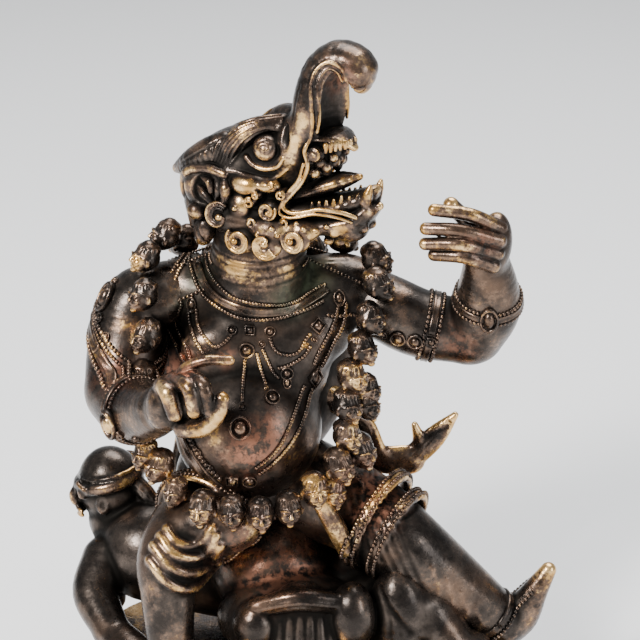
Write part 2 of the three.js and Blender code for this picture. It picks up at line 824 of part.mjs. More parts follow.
function mountSolid() {
  const thinY = new THREE.Vector3(0, 1, 0);
  const hair = [];
  const locks = 5;
  for (let i = 0; i < locks; i += 1) {
    const drop = i * 3.4;
    hair.push(
      limb([[-46, 12 + i, 62 - drop, 2.2], [-40, 9 + i, 56 - drop, 2.3], [-37, 8 + i, 48 - drop, 1.8]], {
        around: 6,
        steps: 3,
      }),
    );
  }
  const forms = [
    limb([[-40, 8, 40, 15], [-18, 4, 38, 16], [6, 0, 37, 16], [26, 0, 36, 14]], { around: 12, steps: 6 }),
    egg([-6, -6, 42], [15, 15, 14], [0, 0, 0], 12, 8),
    limb([[30.6, -24, 34, 9.6], [29.4, -25, 42, 7.4], [28.6, -26, 48.4, 2.4]], { steps: 4, thin: thinY }),
    egg([28, -14, 32], [22, 15, 12], [0, 0, 0], 10, 7),
    limb([[36, -22, 36, 9], [44, -26, 28, 6.4], [50, -25, 25.4, 5.2]], { steps: 4, thin: thinY }),
    limb([[-46, 12, 40, 9], [-50, 13, 47, 8]], { steps: 2, thin: thinY }),
    egg([-51.2, 14, 57], [9.6, 9.2, 11.6], [0, -8, 0], 12, 8),
    hoop([-51.6, 13.8, 60.2], new THREE.Vector3(-0.25, 0, 1), 9.6, 1.6, 5, 14),
    egg([-60.4, 12.6, 54.6], [1.6, 1.4, 2.2], [0, 20, 0], 5, 4),
    egg([-53, 5.4, 54.6], [2, 1.2, 2.8], [0, 0, 0], 6, 4),
    limb([[-52, 4, 38, 7.6], [-55, -4, 32, 6.4], [-50, -14, 26, 5.2]], { steps: 5 }),
    limb([[-50, -14, 25.4, 4.6], [-44, -22, 24.6, 4.2, 5.6], [-38, -28, 23.6, 2.8, 5]], { steps: 4 }),
    limb([[-48, 18, 36, 7], [-54, 18, 27, 5.6], [-52, 8, 24.6, 4.4]], { steps: 4 }),
    limb([[-9, -32, 42, 2.6], [2, -34, 45.4, 3.2], [13, -32, 43.4, 2.8]], { steps: 5 }),
    limb([[3, -31, 40, 4, 8.6], [3.6, -33, 32, 4.4, 9.6], [4, -34, 25, 4, 10.4]], { steps: 4, thin: thinY }),
    egg([-9.4, -31, 36], [6, 6, 7], [0, 0, 0], 9, 6),
    egg([16.6, -30, 38], [6.4, 7, 10], [0, 0, 0], 9, 6),
    egg([0, -22, 34], [20, 13, 13], [0, 0, 0], 12, 7),
    ...hair,
  ];
  const floor = new THREE.BoxGeometry(400, 400, 100).translate(0, 0, floorZ - 50);
  const seat = [...lowerBody(seatGap), ...skirt(seatGap), tassel(seatGap)];
  return joined(forms).subtract(joined(seat)).subtract(toSolid(floor));
}

// The plinth: an oval waist between two rims, with a row of lotus petals around it.

function ovalRadius(angle, inset) {
  const a = plinthHalfLength - inset;
  const b = plinthHalfDepth - inset;
  const power = plinthSquareness;
  return (Math.abs(Math.cos(angle) / a) ** power + Math.abs(Math.sin(angle) / b) ** power) ** (-1 / power);
}

function ovalShape(inset, points = 36) {
  const corners = [];
  for (let k = 0; k < points; k += 1) {
    const angle = (2 * Math.PI * k) / points;
    const radius = ovalRadius(angle, inset);
    corners.push(new THREE.Vector2(radius * Math.cos(angle), radius * Math.sin(angle)));
  }
  return new THREE.Shape(corners);
}

function ovalSlab(inset, bottom, top) {
  const slab = new THREE.ExtrudeGeometry(ovalShape(inset), { depth: top - bottom, bevelEnabled: false });
  return slab.translate(0, 0, bottom);
}

function plinthSolid() {
  const forms = [
    ovalSlab(0, 0, 3.4),
    ovalSlab(6, 2, 18),
    ovalSlab(2, 16.4, plinthHeight),
  ];
  for (let i = 0; i < petalCount; i += 1) {
    const angle = (2 * Math.PI * i) / petalCount;
    const radius = ovalRadius(angle, 6.4);
    const petal = egg([0, 0, 0], [5, 7, 7.4], [0, 18, 0], 7, 6);
    petal.rotateZ(angle);
    petal.translate(radius * Math.cos(angle), radius * Math.sin(angle), 9.6);
    forms.push(petal);
  }
  return joined(forms);
}

function piece(name, solid, triangles, material, place = [0, 0, 0]) {
  const mesh = new THREE.Mesh(thinned(solid, triangles), material);
  mesh.name = name;
  mesh.position.set(...place);
  return mesh;
}

const group = new THREE.Group();
group.add(piece("deity_figure", deitySolid(), deityTriangles, bronze, figureShift));
group.add(piece("mount_figure", mountSolid(), mountTriangles, darkBronze, figureShift));
group.add(piece("lotus_plinth", plinthSolid(), plinthTriangles, giltBronze));

export default group;
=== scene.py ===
"""Looks of a small gilt bronze deity with a makara's head, astride a man on a lotus plinth.

The forms are modelled in millimetres as distance fields on grids, like clay, and turned into
meshes in metres. Small beads and jewels are shells of their own in the same frame.
"""
import math

import bmesh
import bpy
import numpy as np
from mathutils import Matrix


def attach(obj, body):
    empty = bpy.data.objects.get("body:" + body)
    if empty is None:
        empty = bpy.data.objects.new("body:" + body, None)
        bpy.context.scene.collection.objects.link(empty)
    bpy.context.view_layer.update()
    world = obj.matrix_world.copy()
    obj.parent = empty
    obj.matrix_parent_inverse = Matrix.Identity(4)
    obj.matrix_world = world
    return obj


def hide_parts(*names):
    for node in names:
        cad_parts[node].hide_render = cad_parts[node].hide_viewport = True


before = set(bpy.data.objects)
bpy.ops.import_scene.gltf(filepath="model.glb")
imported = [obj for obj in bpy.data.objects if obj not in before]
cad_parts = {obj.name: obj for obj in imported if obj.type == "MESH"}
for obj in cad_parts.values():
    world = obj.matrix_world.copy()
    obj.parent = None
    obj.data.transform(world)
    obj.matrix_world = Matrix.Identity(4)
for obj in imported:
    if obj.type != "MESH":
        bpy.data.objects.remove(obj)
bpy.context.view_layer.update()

import openvdb
from mathutils import Matrix

# Sizes in millimetres. The figures' frame is moved to the plinth's middle, as in the CAD model.
FIGURE_SHIFT = np.array([-4.0, 11.0, 0.0])
PLINTH_HEIGHT = 20.0
FLOOR_Z = PLINTH_HEIGHT + 0.3
HEAD_CENTRE = np.array([-12.0, 1.0, 150.0])
HEAD_YAW = math.radians(-28)
BODY_VOXEL = 0.36
HEAD_VOXEL = 0.24
LEGS_VOXEL = 0.5
MOUNT_VOXEL = 0.55
PLINTH_VOXEL = 0.5
FAR = 5.0
EDGE = 1.8

# The photograph's camera, in the figures' frame.
IMAGE_SIDE = 640
CAMERA_TARGET = np.array([8.0, 0.0, 112.0])
CAMERA_ELEVATION = math.radians(20)
CAMERA_DISTANCE = 600.0
MM_PER_PIXEL = 0.27


# Clay: a signed distance to the surface, on a grid.

class Clay:
    def __init__(self, low, high, voxel):
        self.low = np.array(low, float)
        self.voxel = voxel
        count = np.ceil((np.array(high) - self.low) / voxel).astype(int) + 1
        self.field = np.full(count, FAR, np.float32)

    def window(self, low, high):
        """The cells between two corners, and their coordinates along each axis."""
        start = np.floor((np.array(low) - self.low) / self.voxel).astype(int)
        stop = np.ceil((np.array(high) - self.low) / self.voxel).astype(int) + 1
        start = np.clip(start, 0, self.field.shape)
        stop = np.clip(stop, start, self.field.shape)
        cells = tuple(slice(a, b) for a, b in zip(start, stop))
        axes = [self.low[k] + self.voxel * np.arange(start[k], stop[k]) for k in range(3)]
        axes = [axis.astype(np.float32) for axis in axes]
        return cells, np.meshgrid(*axes, indexing="ij", sparse=True)

    def add(self, shape, blend=0.5):
        low, high, distance = shape
        cells, axes = self.window(low - EDGE - blend, high + EDGE + blend)
        if self.field[cells].size:
            self.field[cells] = soft_min(self.field[cells], distance(*axes), blend)

    def cut(self, shape, blend=0.3):
        low, high, distance = shape
        cells, axes = self.window(low - EDGE - blend, high + EDGE + blend)
        if self.field[cells].size:
            self.field[cells] = -soft_min(-self.field[cells], distance(*axes), blend)

    def line(self, points, width, height):
        """A ridge along a line on the surface, or a groove where the height is negative."""
        points = np.asarray(points, float)
        low = points.min(0) - 3 * width
        high = points.max(0) + 3 * width
        cells, axes = self.window(low, high)
        if not self.field[cells].size:
            return
        away = line_distance(points, 2.5 * width, *axes)
        self.field[cells] -= height * np.exp(-((away / width) ** 2))

    def at(self, points, field=None):
        """The field at any points, in between its cells."""
        field = self.field if field is None else field
        place = (np.asarray(points, float) - self.low) / self.voxel
        place = np.clip(place, 0, np.array(field.shape) - 1.001)
        cell = place.astype(int)
        part = place - cell
        total = np.zeros(len(place))
        for corner in np.ndindex(2, 2, 2):
            weight = np.prod(np.where(corner, part, 1 - part), axis=1)
            i, j, k = (cell + corner).T
            total += weight * field[i, j, k]
        return total

    def normals(self, points):
        points = np.asarray(points, float)
        step = self.voxel
        slope = [self.at(points + step * e) - self.at(points - step * e) for e in np.eye(3)]
        slope = np.stack(slope, axis=1)
        return slope / np.maximum(np.linalg.norm(slope, axis=1, keepdims=True), 1e-9)

    def trace(self, starts, direction, reach=400.0):
        """Where lines from outside first meet the surface, and which of them do."""
        starts = np.asarray(starts, float)
        direction = np.broadcast_to(direction, starts.shape)
        direction = direction / np.linalg.norm(direction, axis=1, keepdims=True)
        gone = np.zeros(len(starts))
        high = self.low + self.voxel * (np.array(self.field.shape) - 1)
        for _ in range(500):
            here = starts + gone[:, None] * direction
            inside_box = ((here > self.low) & (here < high)).all(axis=1)
            distance = np.where(inside_box, self.at(here), FAR)
            gone += np.where(distance > 0.02, np.maximum(0.5 * distance, 0.04), 0.0)
            if (distance <= 0.02).all() or gone.min() > reach:
                break
        here = starts + gone[:, None] * direction
        return here, self.at(here) < 0.3

    def cut_below(self, height):
        cells, axes = self.window(self.low, self.low + 1e4)
        self.field[cells] = np.maximum(self.field[cells], height - axes[2])

    def mirrored(self):
        """The same clay with its other half, past the plane y = 0."""
        whole = Clay.__new__(Clay)
        whole.voxel = self.voxel
        whole.field = np.concatenate([self.field[:, :0:-1], self.field], axis=1)
        side = self.voxel * (self.field.shape[1] - 1)
        whole.low = np.array([self.low[0], -side, self.low[2]])
        return whole

    def skin(self):
        grid = openvdb.FloatGrid(FAR)
        self.field[:, :, [0, -1]] = FAR
        grid.copyFromArray(self.field)
        points, triangles, quads = grid.convertToPolygons(0.0, 0.0)
        return points * self.voxel + self.low, triangles, quads


def soft_min(a, b, blend):
    if blend <= 0:
        return np.minimum(a, b)
    part = np.clip(0.5 + 0.5 * (a - b) / blend, 0, 1)
    return a + (b - a) * part - blend * part * (1 - part)


def turn_matrix(degrees):
    """A turn about X, then Y, then Z."""
    matrix = np.eye(3)
    for axis, angle in enumerate(np.radians(degrees)):
        c, s = math.cos(angle), math.sin(angle)
        one = np.eye(3)
        i, j = [(1, 2), (2, 0), (0, 1)][axis]
        one[i, i] = one[j, j] = c
        one[i, j] = -s
        one[j, i] = s
        matrix = one @ matrix
    return matrix


# Shapes: each is its lowest corner, its highest corner and its distance function.

def egg(centre, radii, turn=(0, 0, 0)):
    centre = np.array(centre, float)
    radii = np.array(radii, float)
    matrix = turn_matrix(turn)
    reach = np.sqrt(((matrix * radii) ** 2).sum(axis=1))

    def distance(x, y, z):
        parts = (x - centre[0], y - centre[1], z - centre[2])
        local = [sum(matrix[k, i] * parts[k] for k in range(3)) for i in range(3)]
        near = np.sqrt(sum((p / r) ** 2 for p, r in zip(local, radii)))
        slope = np.sqrt(sum((p / r ** 2) ** 2 for p, r in zip(local, radii)))
        return near * (near - 1) / np.maximum(slope, 1e-4)

    return centre - reach, centre + reach, distance


def ball(centre, radius):
    return egg(centre, (radius, radius, radius))


def smooth_line(stops, step):
    """Points along a smooth line through the stops, about a step apart, with all their numbers."""
    stops = np.array(stops, float)
    ends = np.vstack([2 * stops[0] - stops[1], stops, 2 * stops[-1] - stops[-2]])
    rows = []
    for a, b, c, d in zip(ends[:-3], ends[1:-2], ends[2:-1], ends[3:]):
        count = max(2, int(np.linalg.norm(c[:3] - b[:3]) / step))
        for t in np.arange(count) / count:
            bend = 2 * b + (c - a) * t + (2 * a - 5 * b + 4 * c - d) * t ** 2
            rows.append(0.5 * (bend + (3 * b - a - 3 * c + d) * t ** 3))
    rows.append(stops[-1])
    return np.array(rows)


def closed_line(stops, step):
    stops = np.array(stops, float)
    count = len(stops)
    longer = np.vstack([stops[-2:], stops, stops[:3]])
    line = smooth_line(longer, step)
    start = np.argmin(np.linalg.norm(line[:, :3] - stops[0, :3], axis=1))
    rest = line[start + count:]
    stop = start + count + np.argmin(np.linalg.norm(rest[:, :3] - stops[0, :3], axis=1))
    return line[start:stop + 1]


def pieces_of(line, reach, axes):
    """Each stretch of a line, with the cells that it comes near."""
    ravelled = [axis.ravel() for axis in axes]
    for a, b in zip(line[:-1], line[1:]):
        far = reach(a, b)
        low = np.minimum(a[:3], b[:3]) - far
        high = np.maximum(a[:3], b[:3]) + far
        cells = []
        for axis, l, h in zip(ravelled, low, high):
            cells.append(slice(*np.searchsorted(axis, (l, h))))
        if all(c.stop > c.start for c in cells):
            x = axes[0][cells[0], :, :]
            y = axes[1][:, cells[1], :]
            z = axes[2][:, :, cells[2]]
            yield a, b, tuple(cells), (x, y, z)


def along(a, b, x, y, z):
    """How far along a stretch each cell is, from 0 to 1, and its offset from there."""
    span = b[:3] - a[:3]
    length = max(float(span @ span), 1e-9)
    px, py, pz = x - a[0], y - a[1], z - a[2]
    t = np.clip((px * span[0] + py * span[1] + pz * span[2]) / length, 0, 1)
    return t, px - t * span[0], py - t * span[1], pz - t * span[2]


def line_distance(points, reach, x, y, z):
    shape = np.broadcast_shapes(x.shape, y.shape, z.shape)
    out = np.full(shape, 4 * reach, np.float32)
    for a, b, cells, axes in pieces_of(points, lambda p, q: reach, (x, y, z)):
        _, px, py, pz = along(a, b, *axes)
        out[cells] = np.minimum(out[cells], np.sqrt(px ** 2 + py ** 2 + pz ** 2))
    return out


def limb(stops, thin=None, wide=None, step=1.5, closed=False):
    """A bar along a smooth line. Each stop is x, y, z and its half thickness, and its half width
    too where it is flat. The thickness lies along thin, or the width along wide."""
    line = closed_line(stops, step) if closed else smooth_line(stops, step)
    reach = line[:, 3:].max()
    flat = line.shape[1] > 4

    def distance(x, y, z):
        out = np.full(np.broadcast_shapes(x.shape, y.shape, z.shape), FAR, np.float32)
        far = lambda p, q: max(p[3:].max(), q[3:].max()) + EDGE
        for a, b, cells, axes in pieces_of(line, far, (x, y, z)):
            t, px, py, pz = along(a, b, *axes)
            square = px ** 2 + py ** 2 + pz ** 2
            thickness = a[3] + (b[3] - a[3]) * t
            if flat:
                width = a[4] + (b[4] - a[4]) * t
                tangent = (b - a)[:3] / max(np.linalg.norm((b - a)[:3]), 1e-9)
                known = np.array(thin if wide is None else wide, float)
                known = known - tangent * (known @ tangent)
                known /= np.linalg.norm(known)
                first = (px * known[0] + py * known[1] + pz * known[2]) ** 2
                other = np.maximum(square - first, 0)
                r, s = (thickness, width) if wide is None else (width, thickness)
                near = np.sqrt(first / r ** 2 + other / s ** 2)
                slope = np.sqrt(first / r ** 4 + other / s ** 4)
                away = near * (near - 1) / np.maximum(slope, 1e-4)
            else:
                away = np.sqrt(square) - thickness
            out[cells] = np.minimum(out[cells], away)
        return out

    return line[:, :3].min(0) - reach, line[:, :3].max(0) + reach, distance


def hoop(centre, axis, radius, thickness, height=None):
    """A ring around an axis, with a round or an oval section."""
    centre = np.array(centre, float)
    axis = np.array(axis, float) / np.linalg.norm(axis)
    height = thickness if height is None else height
    reach = radius + max(thickness, height)

    def distance(x, y, z):
        px, py, pz = x - centre[0], y - centre[1], z - centre[2]
        up = px * axis[0] + py * axis[1] + pz * axis[2]
        out = np.sqrt(np.maximum(px ** 2 + py ** 2 + pz ** 2 - up ** 2, 0)) - radius
        near = np.sqrt((out / thickness) ** 2 + (up / height) ** 2)
        slope = np.sqrt((out / thickness ** 2) ** 2 + (up / height ** 2) ** 2)
        return near * (near - 1) / np.maximum(slope, 1e-4)

    return centre - reach, centre + reach, distance


# Meshes.

def figure_to_world(points):
    return (np.asarray(points, float) + FIGURE_SHIFT) * 0.001


def mesh_object(name, points, triangles, quads=()):
    mesh = bpy.data.meshes.new(name)
    faces = [np.asarray(f, np.int32) for f in (triangles, quads) if len(f)]
    sizes = np.concatenate([np.full(len(f), f.shape[1], np.int32) for f in faces])
    loops = np.concatenate([f.ravel() for f in faces])
    mesh.vertices.add(len(points))
    mesh.vertices.foreach_set("co", np.asarray(points, np.float32).ravel())
    mesh.loops.add(len(loops))
    mesh.loops.foreach_set("vertex_index", loops)
    mesh.polygons.add(len(sizes))
    mesh.polygons.foreach_set("loop_start", np.concatenate([[0], np.cumsum(sizes)[:-1]]))
    mesh.polygons.foreach_set("loop_total", sizes)
    mesh.update(calc_edges=True)
    mesh.validate()
    mesh.polygons.foreach_set("use_smooth", np.ones(len(mesh.polygons), bool))
    piece = bpy.data.objects.new(name, mesh)
    bpy.context.scene.collection.objects.link(piece)
    return piece


def thin_out(piece, most):
    """Takes triangles away where the surface is smooth, down to a number of them."""
    mesh = piece.data
    count = sum(len(p.vertices) - 2 for p in mesh.polygons)
    if count > most:
        modifier = piece.modifiers.new("thin", "DECIMATE")
        modifier.ratio = most / count
        depsgraph = bpy.context.evaluated_depsgraph_get()
        piece.data = bpy.data.meshes.new_from_object(piece.evaluated_get(depsgraph))
        piece.modifiers.clear()
        bpy.data.meshes.remove(mesh)
        piece.data.polygons.foreach_set("use_smooth", np.ones(len(piece.data.polygons), bool))
    return piece


def vertices_of(piece):
    points = np.empty(3 * len(piece.data.vertices), np.float32)
    piece.data.vertices.foreach_get("co", points)
    return points.reshape(-1, 3)


def paint(piece, name, values):
    layer = piece.data.attributes.new(name, "FLOAT", "POINT")
    layer.data.foreach_set("value", np.asarray(values, np.float32))


def box_blur(field, cells):
    """The mean over a cube of cells, side by side along each axis."""
    for axis in range(3):
        pad = [(0, 0)] * 3
        pad[axis] = (cells + 1, cells)
        sums = np.cumsum(np.pad(field, pad, mode="edge"), axis=axis, dtype=np.float64)
        far = np.take(sums, range(2 * cells + 1, sums.shape[axis]), axis=axis)
        near = np.take(sums, range(sums.shape[axis] - 2 * cells - 1), axis=axis)
        field = ((far - near) / (2 * cells + 1)).astype(np.float32)
    return field


def relief_of(clay, points, radius):
    """How proud (positive) or sunken (negative) the surface is, against its surroundings."""
    reach = 2 * radius
    coarse = np.clip(clay.field[::2, ::2, ::2], -reach, reach)
    step = 2 * clay.voxel
    cells = max(1, int(round(radius / step)))
    mean = box_blur(box_blur(coarse, cells), cells)
    copy = Clay.__new__(Clay)
    copy.low = clay.low
    copy.voxel = step
    copy.field = mean
    return copy.at(points) / radius


# The makara head, laid out looking along +X, its left half only.

WIDE = (0, 1, 0)
TRUNK = [
    (17, 0, 13, 7.4, 10.2),
    (21.8, 0, 20.5, 6.4, 10.0),
    (22.9, 0, 26, 6.2, 9.8),
    (23.7, 0, 30, 6.0, 9.3),
    (24.6, 0, 34, 5.2, 8.2),
    (27.6, 0, 37.0, 4.6, 6.8),
    (31.4, 0, 37.0, 4.4, 6.0),
    (34.2, 0, 35, 4.3, 5.6),
    (33.8, 0, 31.8, 3.5, 4.4),
]
TRUNK_HOLLOW = [
    (28.6, 0, 19.6, 5.6, 8.0),
    (29.4, 0, 25, 6.2, 8.3),
    (29.2, 0, 30, 5.2, 7.7),
    (29.6, 0, 33.0, 2.6, 6.2),
]
JAW = [
    (6, 0, -4, 5, 10.4),
    (16, 0, -6.2, 4.2, 9.8),
    (26, 0, -6.4, 3.4, 8.4),
    (34, 0, -4.4, 3.0, 6.2),
    (37.4, 0, -1.4, 2.4, 4.6),
]
LIP = [
    (32.8, 5.0, 33.0), (31.8, 5.6, 36.2), (28.4, 6.2, 37.4), (25.8, 7.0, 35.4),
    (24.8, 7.9, 32.0), (25.0, 8.5, 27.6), (25.2, 8.8, 22.4), (24.6, 9.0, 18.4),
    (23.2, 9.3, 14.3), (24.0, 9.2, 10.7), (22.6, 9.6, 6.3), (19.6, 10.0, 2.4),
    (17.6, 10.4, -0.1), (17.8, 10.5, -1.6), (20.0, 10.2, -2.4), (23.4, 9.6, -1.8),
    (26.6, 8.9, -0.9), (30.2, 7.9, -1.0), (33.6, 6.8, -1.6), (36.0, 5.6, -2.6),
]
INNER_LIP = [
    (31.6, 5.0, 32.6), (30.4, 5.6, 35.0), (28.4, 6.0, 35.7), (26.9, 6.6, 34.0),
    (26.2, 7.4, 31.2), (26.5, 7.9, 27.4), (26.7, 8.0, 22.8), (26.2, 8.2, 19.4),
]


def head_side(clay, u, w):
    """The head's surface seen from its left, at a place forward and up."""
    u, w = np.atleast_1d(u).astype(float), np.atleast_1d(w).astype(float)
    starts = np.stack([u, np.full(len(u), 19.0), w], axis=1)
    hits, met = clay.trace(starts, (0, -1, 0), 19)
    hits[~met, 1] = 0
    return hits


def side_line(clay, places):
    """A line on the side of the head through forward and up places."""
    line = smooth_line([(u, 0, w) for u, w in places], 0.7)
    hits = head_side(clay, line[:, 0], line[:, 2])
    hits = hits[hits[:, 1] > 1.5]
    hits[:, 1] = np.convolve(np.pad(hits[:, 1], 2, mode="edge"), np.ones(5) / 5, "valid")
    return hits


def side_ridge(clay, places, radius, sink=0.3, blend=0.3, end=None):
    hits = side_line(clay, places)
    radii = np.linspace(radius, radius if end is None else end, len(hits))
    clay.add(limb(np.column_stack([hits[:, 0], hits[:, 1] - sink * radii, hits[:, 2], radii]), step=1.0), blend)


def curl(clay, centre, radius, start, turns=1.1, way=1, strands=3):
    """A curl of hair that faces the side: strands side by side that wind in to a small ball."""
    u, y, w = centre
    clay.add(egg((u, y - 2.3, w), (radius * 0.96, 2.2, radius * 0.96)), 0.4)
    angles = np.linspace(0, 2 * math.pi * turns, int(18 * turns))
    share = angles / angles[-1]
    pitch = min(0.95, radius * 0.7 / strands)
    for k in range(strands):
        spread = (radius - 0.3 - pitch * k) * (1 - 0.45 * share)
        stops = np.column_stack([
            u + spread * np.cos(start + way * angles),
            y + 0.1 + 0.5 * share - 0.15 * k,
            w + spread * np.sin(start + way * angles),
            np.full(len(angles), 0.4),
        ])
        clay.add(limb(stops[spread > 0.5], step=0.7), 0.05)
    ball_at = start + way * angles[-1]
    clay.add(ball((u + 0.2 * radius * math.cos(ball_at), y + 0.6, w + 0.2 * radius * math.sin(ball_at)), radius * 0.25), 0.1)


def make_head_clay():
    clay = Clay((-26, 0, -21), (44, 18, 45), HEAD_VOXEL)
    clay.add(egg((-1, 0, 4), (17.0, 12.2, 11.6), (0, -25, 0)), 2)
    clay.add(egg((11, 0, 8.6), (10.5, 10.2, 10.6)), 3)
    clay.add(egg((5, 0, -4), (14, 11, 9.4)), 3)
    clay.add(limb(TRUNK, wide=WIDE), 2)
    clay.cut(egg((29.5, 0, 6.4), (10.6, 16, 6.0), (0, -14, 0)), 0.8)
    clay.add(limb(JAW, wide=WIDE), 1.5)
    clay.add(egg((31.4, 0, -7.0), (5.2, 5.6, 4.2)), 1.5)
    for place, radii in (((3, 9.4, -7), (8, 4.2, 4.4)), ((13, 9.6, -8.0), (7, 4, 3.8)), ((21.4, 8.2, -7.4), (5, 3.6, 3.2))):
        clay.add(egg(place, radii), 1.2)
    clay.cut(limb(TRUNK_HOLLOW, wide=WIDE), 0.5)
    gum = [(17, 0, -3.0, 2.6, 8.8), (25, 0, -2.2, 2.8, 8.0), (31, 0, -0.9, 2.9, 6.4), (36.0, 0, 1.4, 2.6, 4.2), (38.4, 0, 3.6, 1.5, 2.6)]
    clay.add(limb(gum, wide=WIDE), 0.5)
    # The palate: a ledge with a pointed tip over lumpy flesh, a coiled molar and small teeth.
    ledge = [(21, 0, 16.4, 1.2, 8), (27, 0, 17.0, 1.2, 7.4), (30, 0, 16.2, 1.1, 4.6), (32.8, 0, 14.0, 0.8, 1.6)]
    clay.add(limb(ledge, wide=WIDE), 0.5)
    clay.add(egg((22, 0, 12), (6.4, 7.4, 5.0)), 1)
    for place, radius in (((26.8, 4.2, 9.4), 1.6), ((27.6, 1.6, 10.2), 1.6), ((25.8, 5.8, 10.8), 1.5), ((24.4, 6.2, 8.0), 1.5), ((26.2, 3.0, 7.8), 1.4), ((28.2, 3.4, 11.8), 1.3)):
        clay.add(ball(place, radius), 0.3)
    clay.add(ball((25.2, 7.2, 13.2), 2.3), 0.3)
    angles = np.linspace(0, 3.4 * math.pi, 30)
    spread = 0.5 + 0.17 * angles
    coil = np.column_stack([25.4 + spread * np.cos(angles), 9.5 - 0.12 * angles, 13.2 + spread * np.sin(angles), np.full(30, 0.3)])
    clay.add(limb(coil, step=0.7), 0.05)
    for k in range(6):
        u, y = 28.0 + 0.8 * k, 7.0 - 1.15 * k
        clay.add(limb([(u, y, 15.8, 0.8), (u, y + 0.1, 14.0 + 0.1 * k, 0.45)], step=1), 0.15)
    # The tongue, a leaf that stands up out of the mouth with a crease along it.
    tongue = [(15, 0, -1.0, 1.8, 6), (21, 0, 1.4, 2.2, 6.4), (26.4, 0, 4.0, 2.6, 5.8), (30.6, 0, 5.4, 1.9, 3.8), (34.2, 0, 6.6, 0.9, 1.2)]
    clay.add(limb(tongue, wide=WIDE), 0.3)
    clay.line(smooth_line([(20, 0, 3.4), (26.4, 0, 6.6), (32.6, 0, 7.0)], 1.0), 0.7, -0.7)
    # Small teeth and a fang of the lower jaw, and the warts on the chin.
    for k in range(7):
        u, y = 24.0 + 1.9 * k, 7.0 - 0.24 * k - 0.05 * k * k
        tip = 1.3 if k == 4 else 0.7
        clay.add(limb([(u, y, -1.6 + 0.42 * k, 0.8), (u + 0.2, y + 0.2, -0.6 + tip + 0.44 * k, 0.36)], step=1), 0.2)
    clay.add(limb([(37.4, 3.0, 1.0, 1.6), (38.2, 3.2, 3.4, 1.2), (38.8, 3.0, 5.4, 0.6)], step=1), 0.6)
    clay.add(ball((27.0, 3.4, -10.6), 1.3), 0.4)
    clay.add(ball((40.0, 0, -0.4), 1.1), 0.8)
    for u, y, w, r in ((33, 4.6, -5.4, 1.5), (30, 6, -7.4, 1.3), (35.4, 3.6, -3.8, 1.2), (36.6, 2.2, -6.2, 1.3)):
        clay.add(ball((u, y, w), r), 0.8)
    # The cheek, and the horn-like lock that sweeps back to a point.
    clay.add(egg((6.6, 10.8, 3.6), (4.4, 2.8, 2.8)), 0.8)
    clay.add(egg((12.6, 9.8, 3.8), (3.8, 2.4, 2.0)), 0.8)
    clay.add(egg((5.0, 11.2, -2.4), (3.2, 2.2, 3.6)), 0.8)
    lock = [(-1, 7.6, 12.8, 3.4), (-5, 8.0, 10.2, 4.1), (-10, 7.4, 7.0, 3.9), (-14.6, 5.2, 4.6, 2.8), (-18.4, 3.4, 2.8, 1.5)]
    clay.add(limb(lock), 0.6)
    for k in range(9):
        t = 0.06 + 0.1 * k
        u, w = -1 - 15.6 * t, 13.4 - 10 * t
        clay.line(side_line(clay, [(u + 2.4, w + 2.4), (u - 0.6, w + 0.4), (u - 0.4, w - 2.2)]), 0.35, -0.28)
    # The brow: a fan of combed strands that sweeps up over the eye.
    clay.add(limb([(0.2, 8.8, 10.0, 2.0), (3.0, 9.6, 14.4, 2.6), (7.6, 7.8, 18.2, 2.6), (14.0, 4, 19.8, 2.0)]), 0.5)
    low_edge = np.array([(1.8, 7.6), (4.4, 11.6), (7.2, 15.4), (10.8, 17.8), (15.6, 18.2)])
    high_edge = np.array([(-3.0, 9.0), (-1.2, 13.8), (2.6, 17.9), (7.8, 20.6), (14.6, 21.8)])
    for share in np.linspace(0, 1, 7):
        side_ridge(clay, low_edge + share * (high_edge - low_edge), 0.42, 0.15, 0.05, 0.36)
    clay.cut(limb([(17.6, 8.6, 19.6, 0.9), (17.9, 11.2, 15.4, 1.5), (17.6, 12.6, 11.6, 1.3)], step=1), 0.6)
    # The eye: a bulging ball with a coil on it, in a sunken almond with a raised lower lid.
    clay.cut(egg((12.8, 12.8, 13.2), (5.2, 4.4, 4.0), (0, -18, 0)), 0.4)
    clay.add(ball((11.6, 8.2, 13.4), 3.7), 0.1)
    side_ridge(clay, [(6.6, 10.8), (8.8, 9.0), (12.2, 8.2), (15.4, 9.2), (17.4, 11.8)], 0.8, 0.0, 0.15, 0.5)
    angles = np.linspace(0, 2.6 * math.pi, 30)
    spread = 0.5 + 0.22 * angles
    clay.line(head_side(clay, 12.6 + spread * np.cos(angles + 0.8), 14.0 + spread * np.sin(angles + 0.8)), 0.35, -0.4)
    side_ridge(clay, [(-0.4, 6.8), (4, 6.8), (9, 6.0), (14, 5.8), (17.6, 8.4)], 0.6, 0.3, 0.5, 0.4)
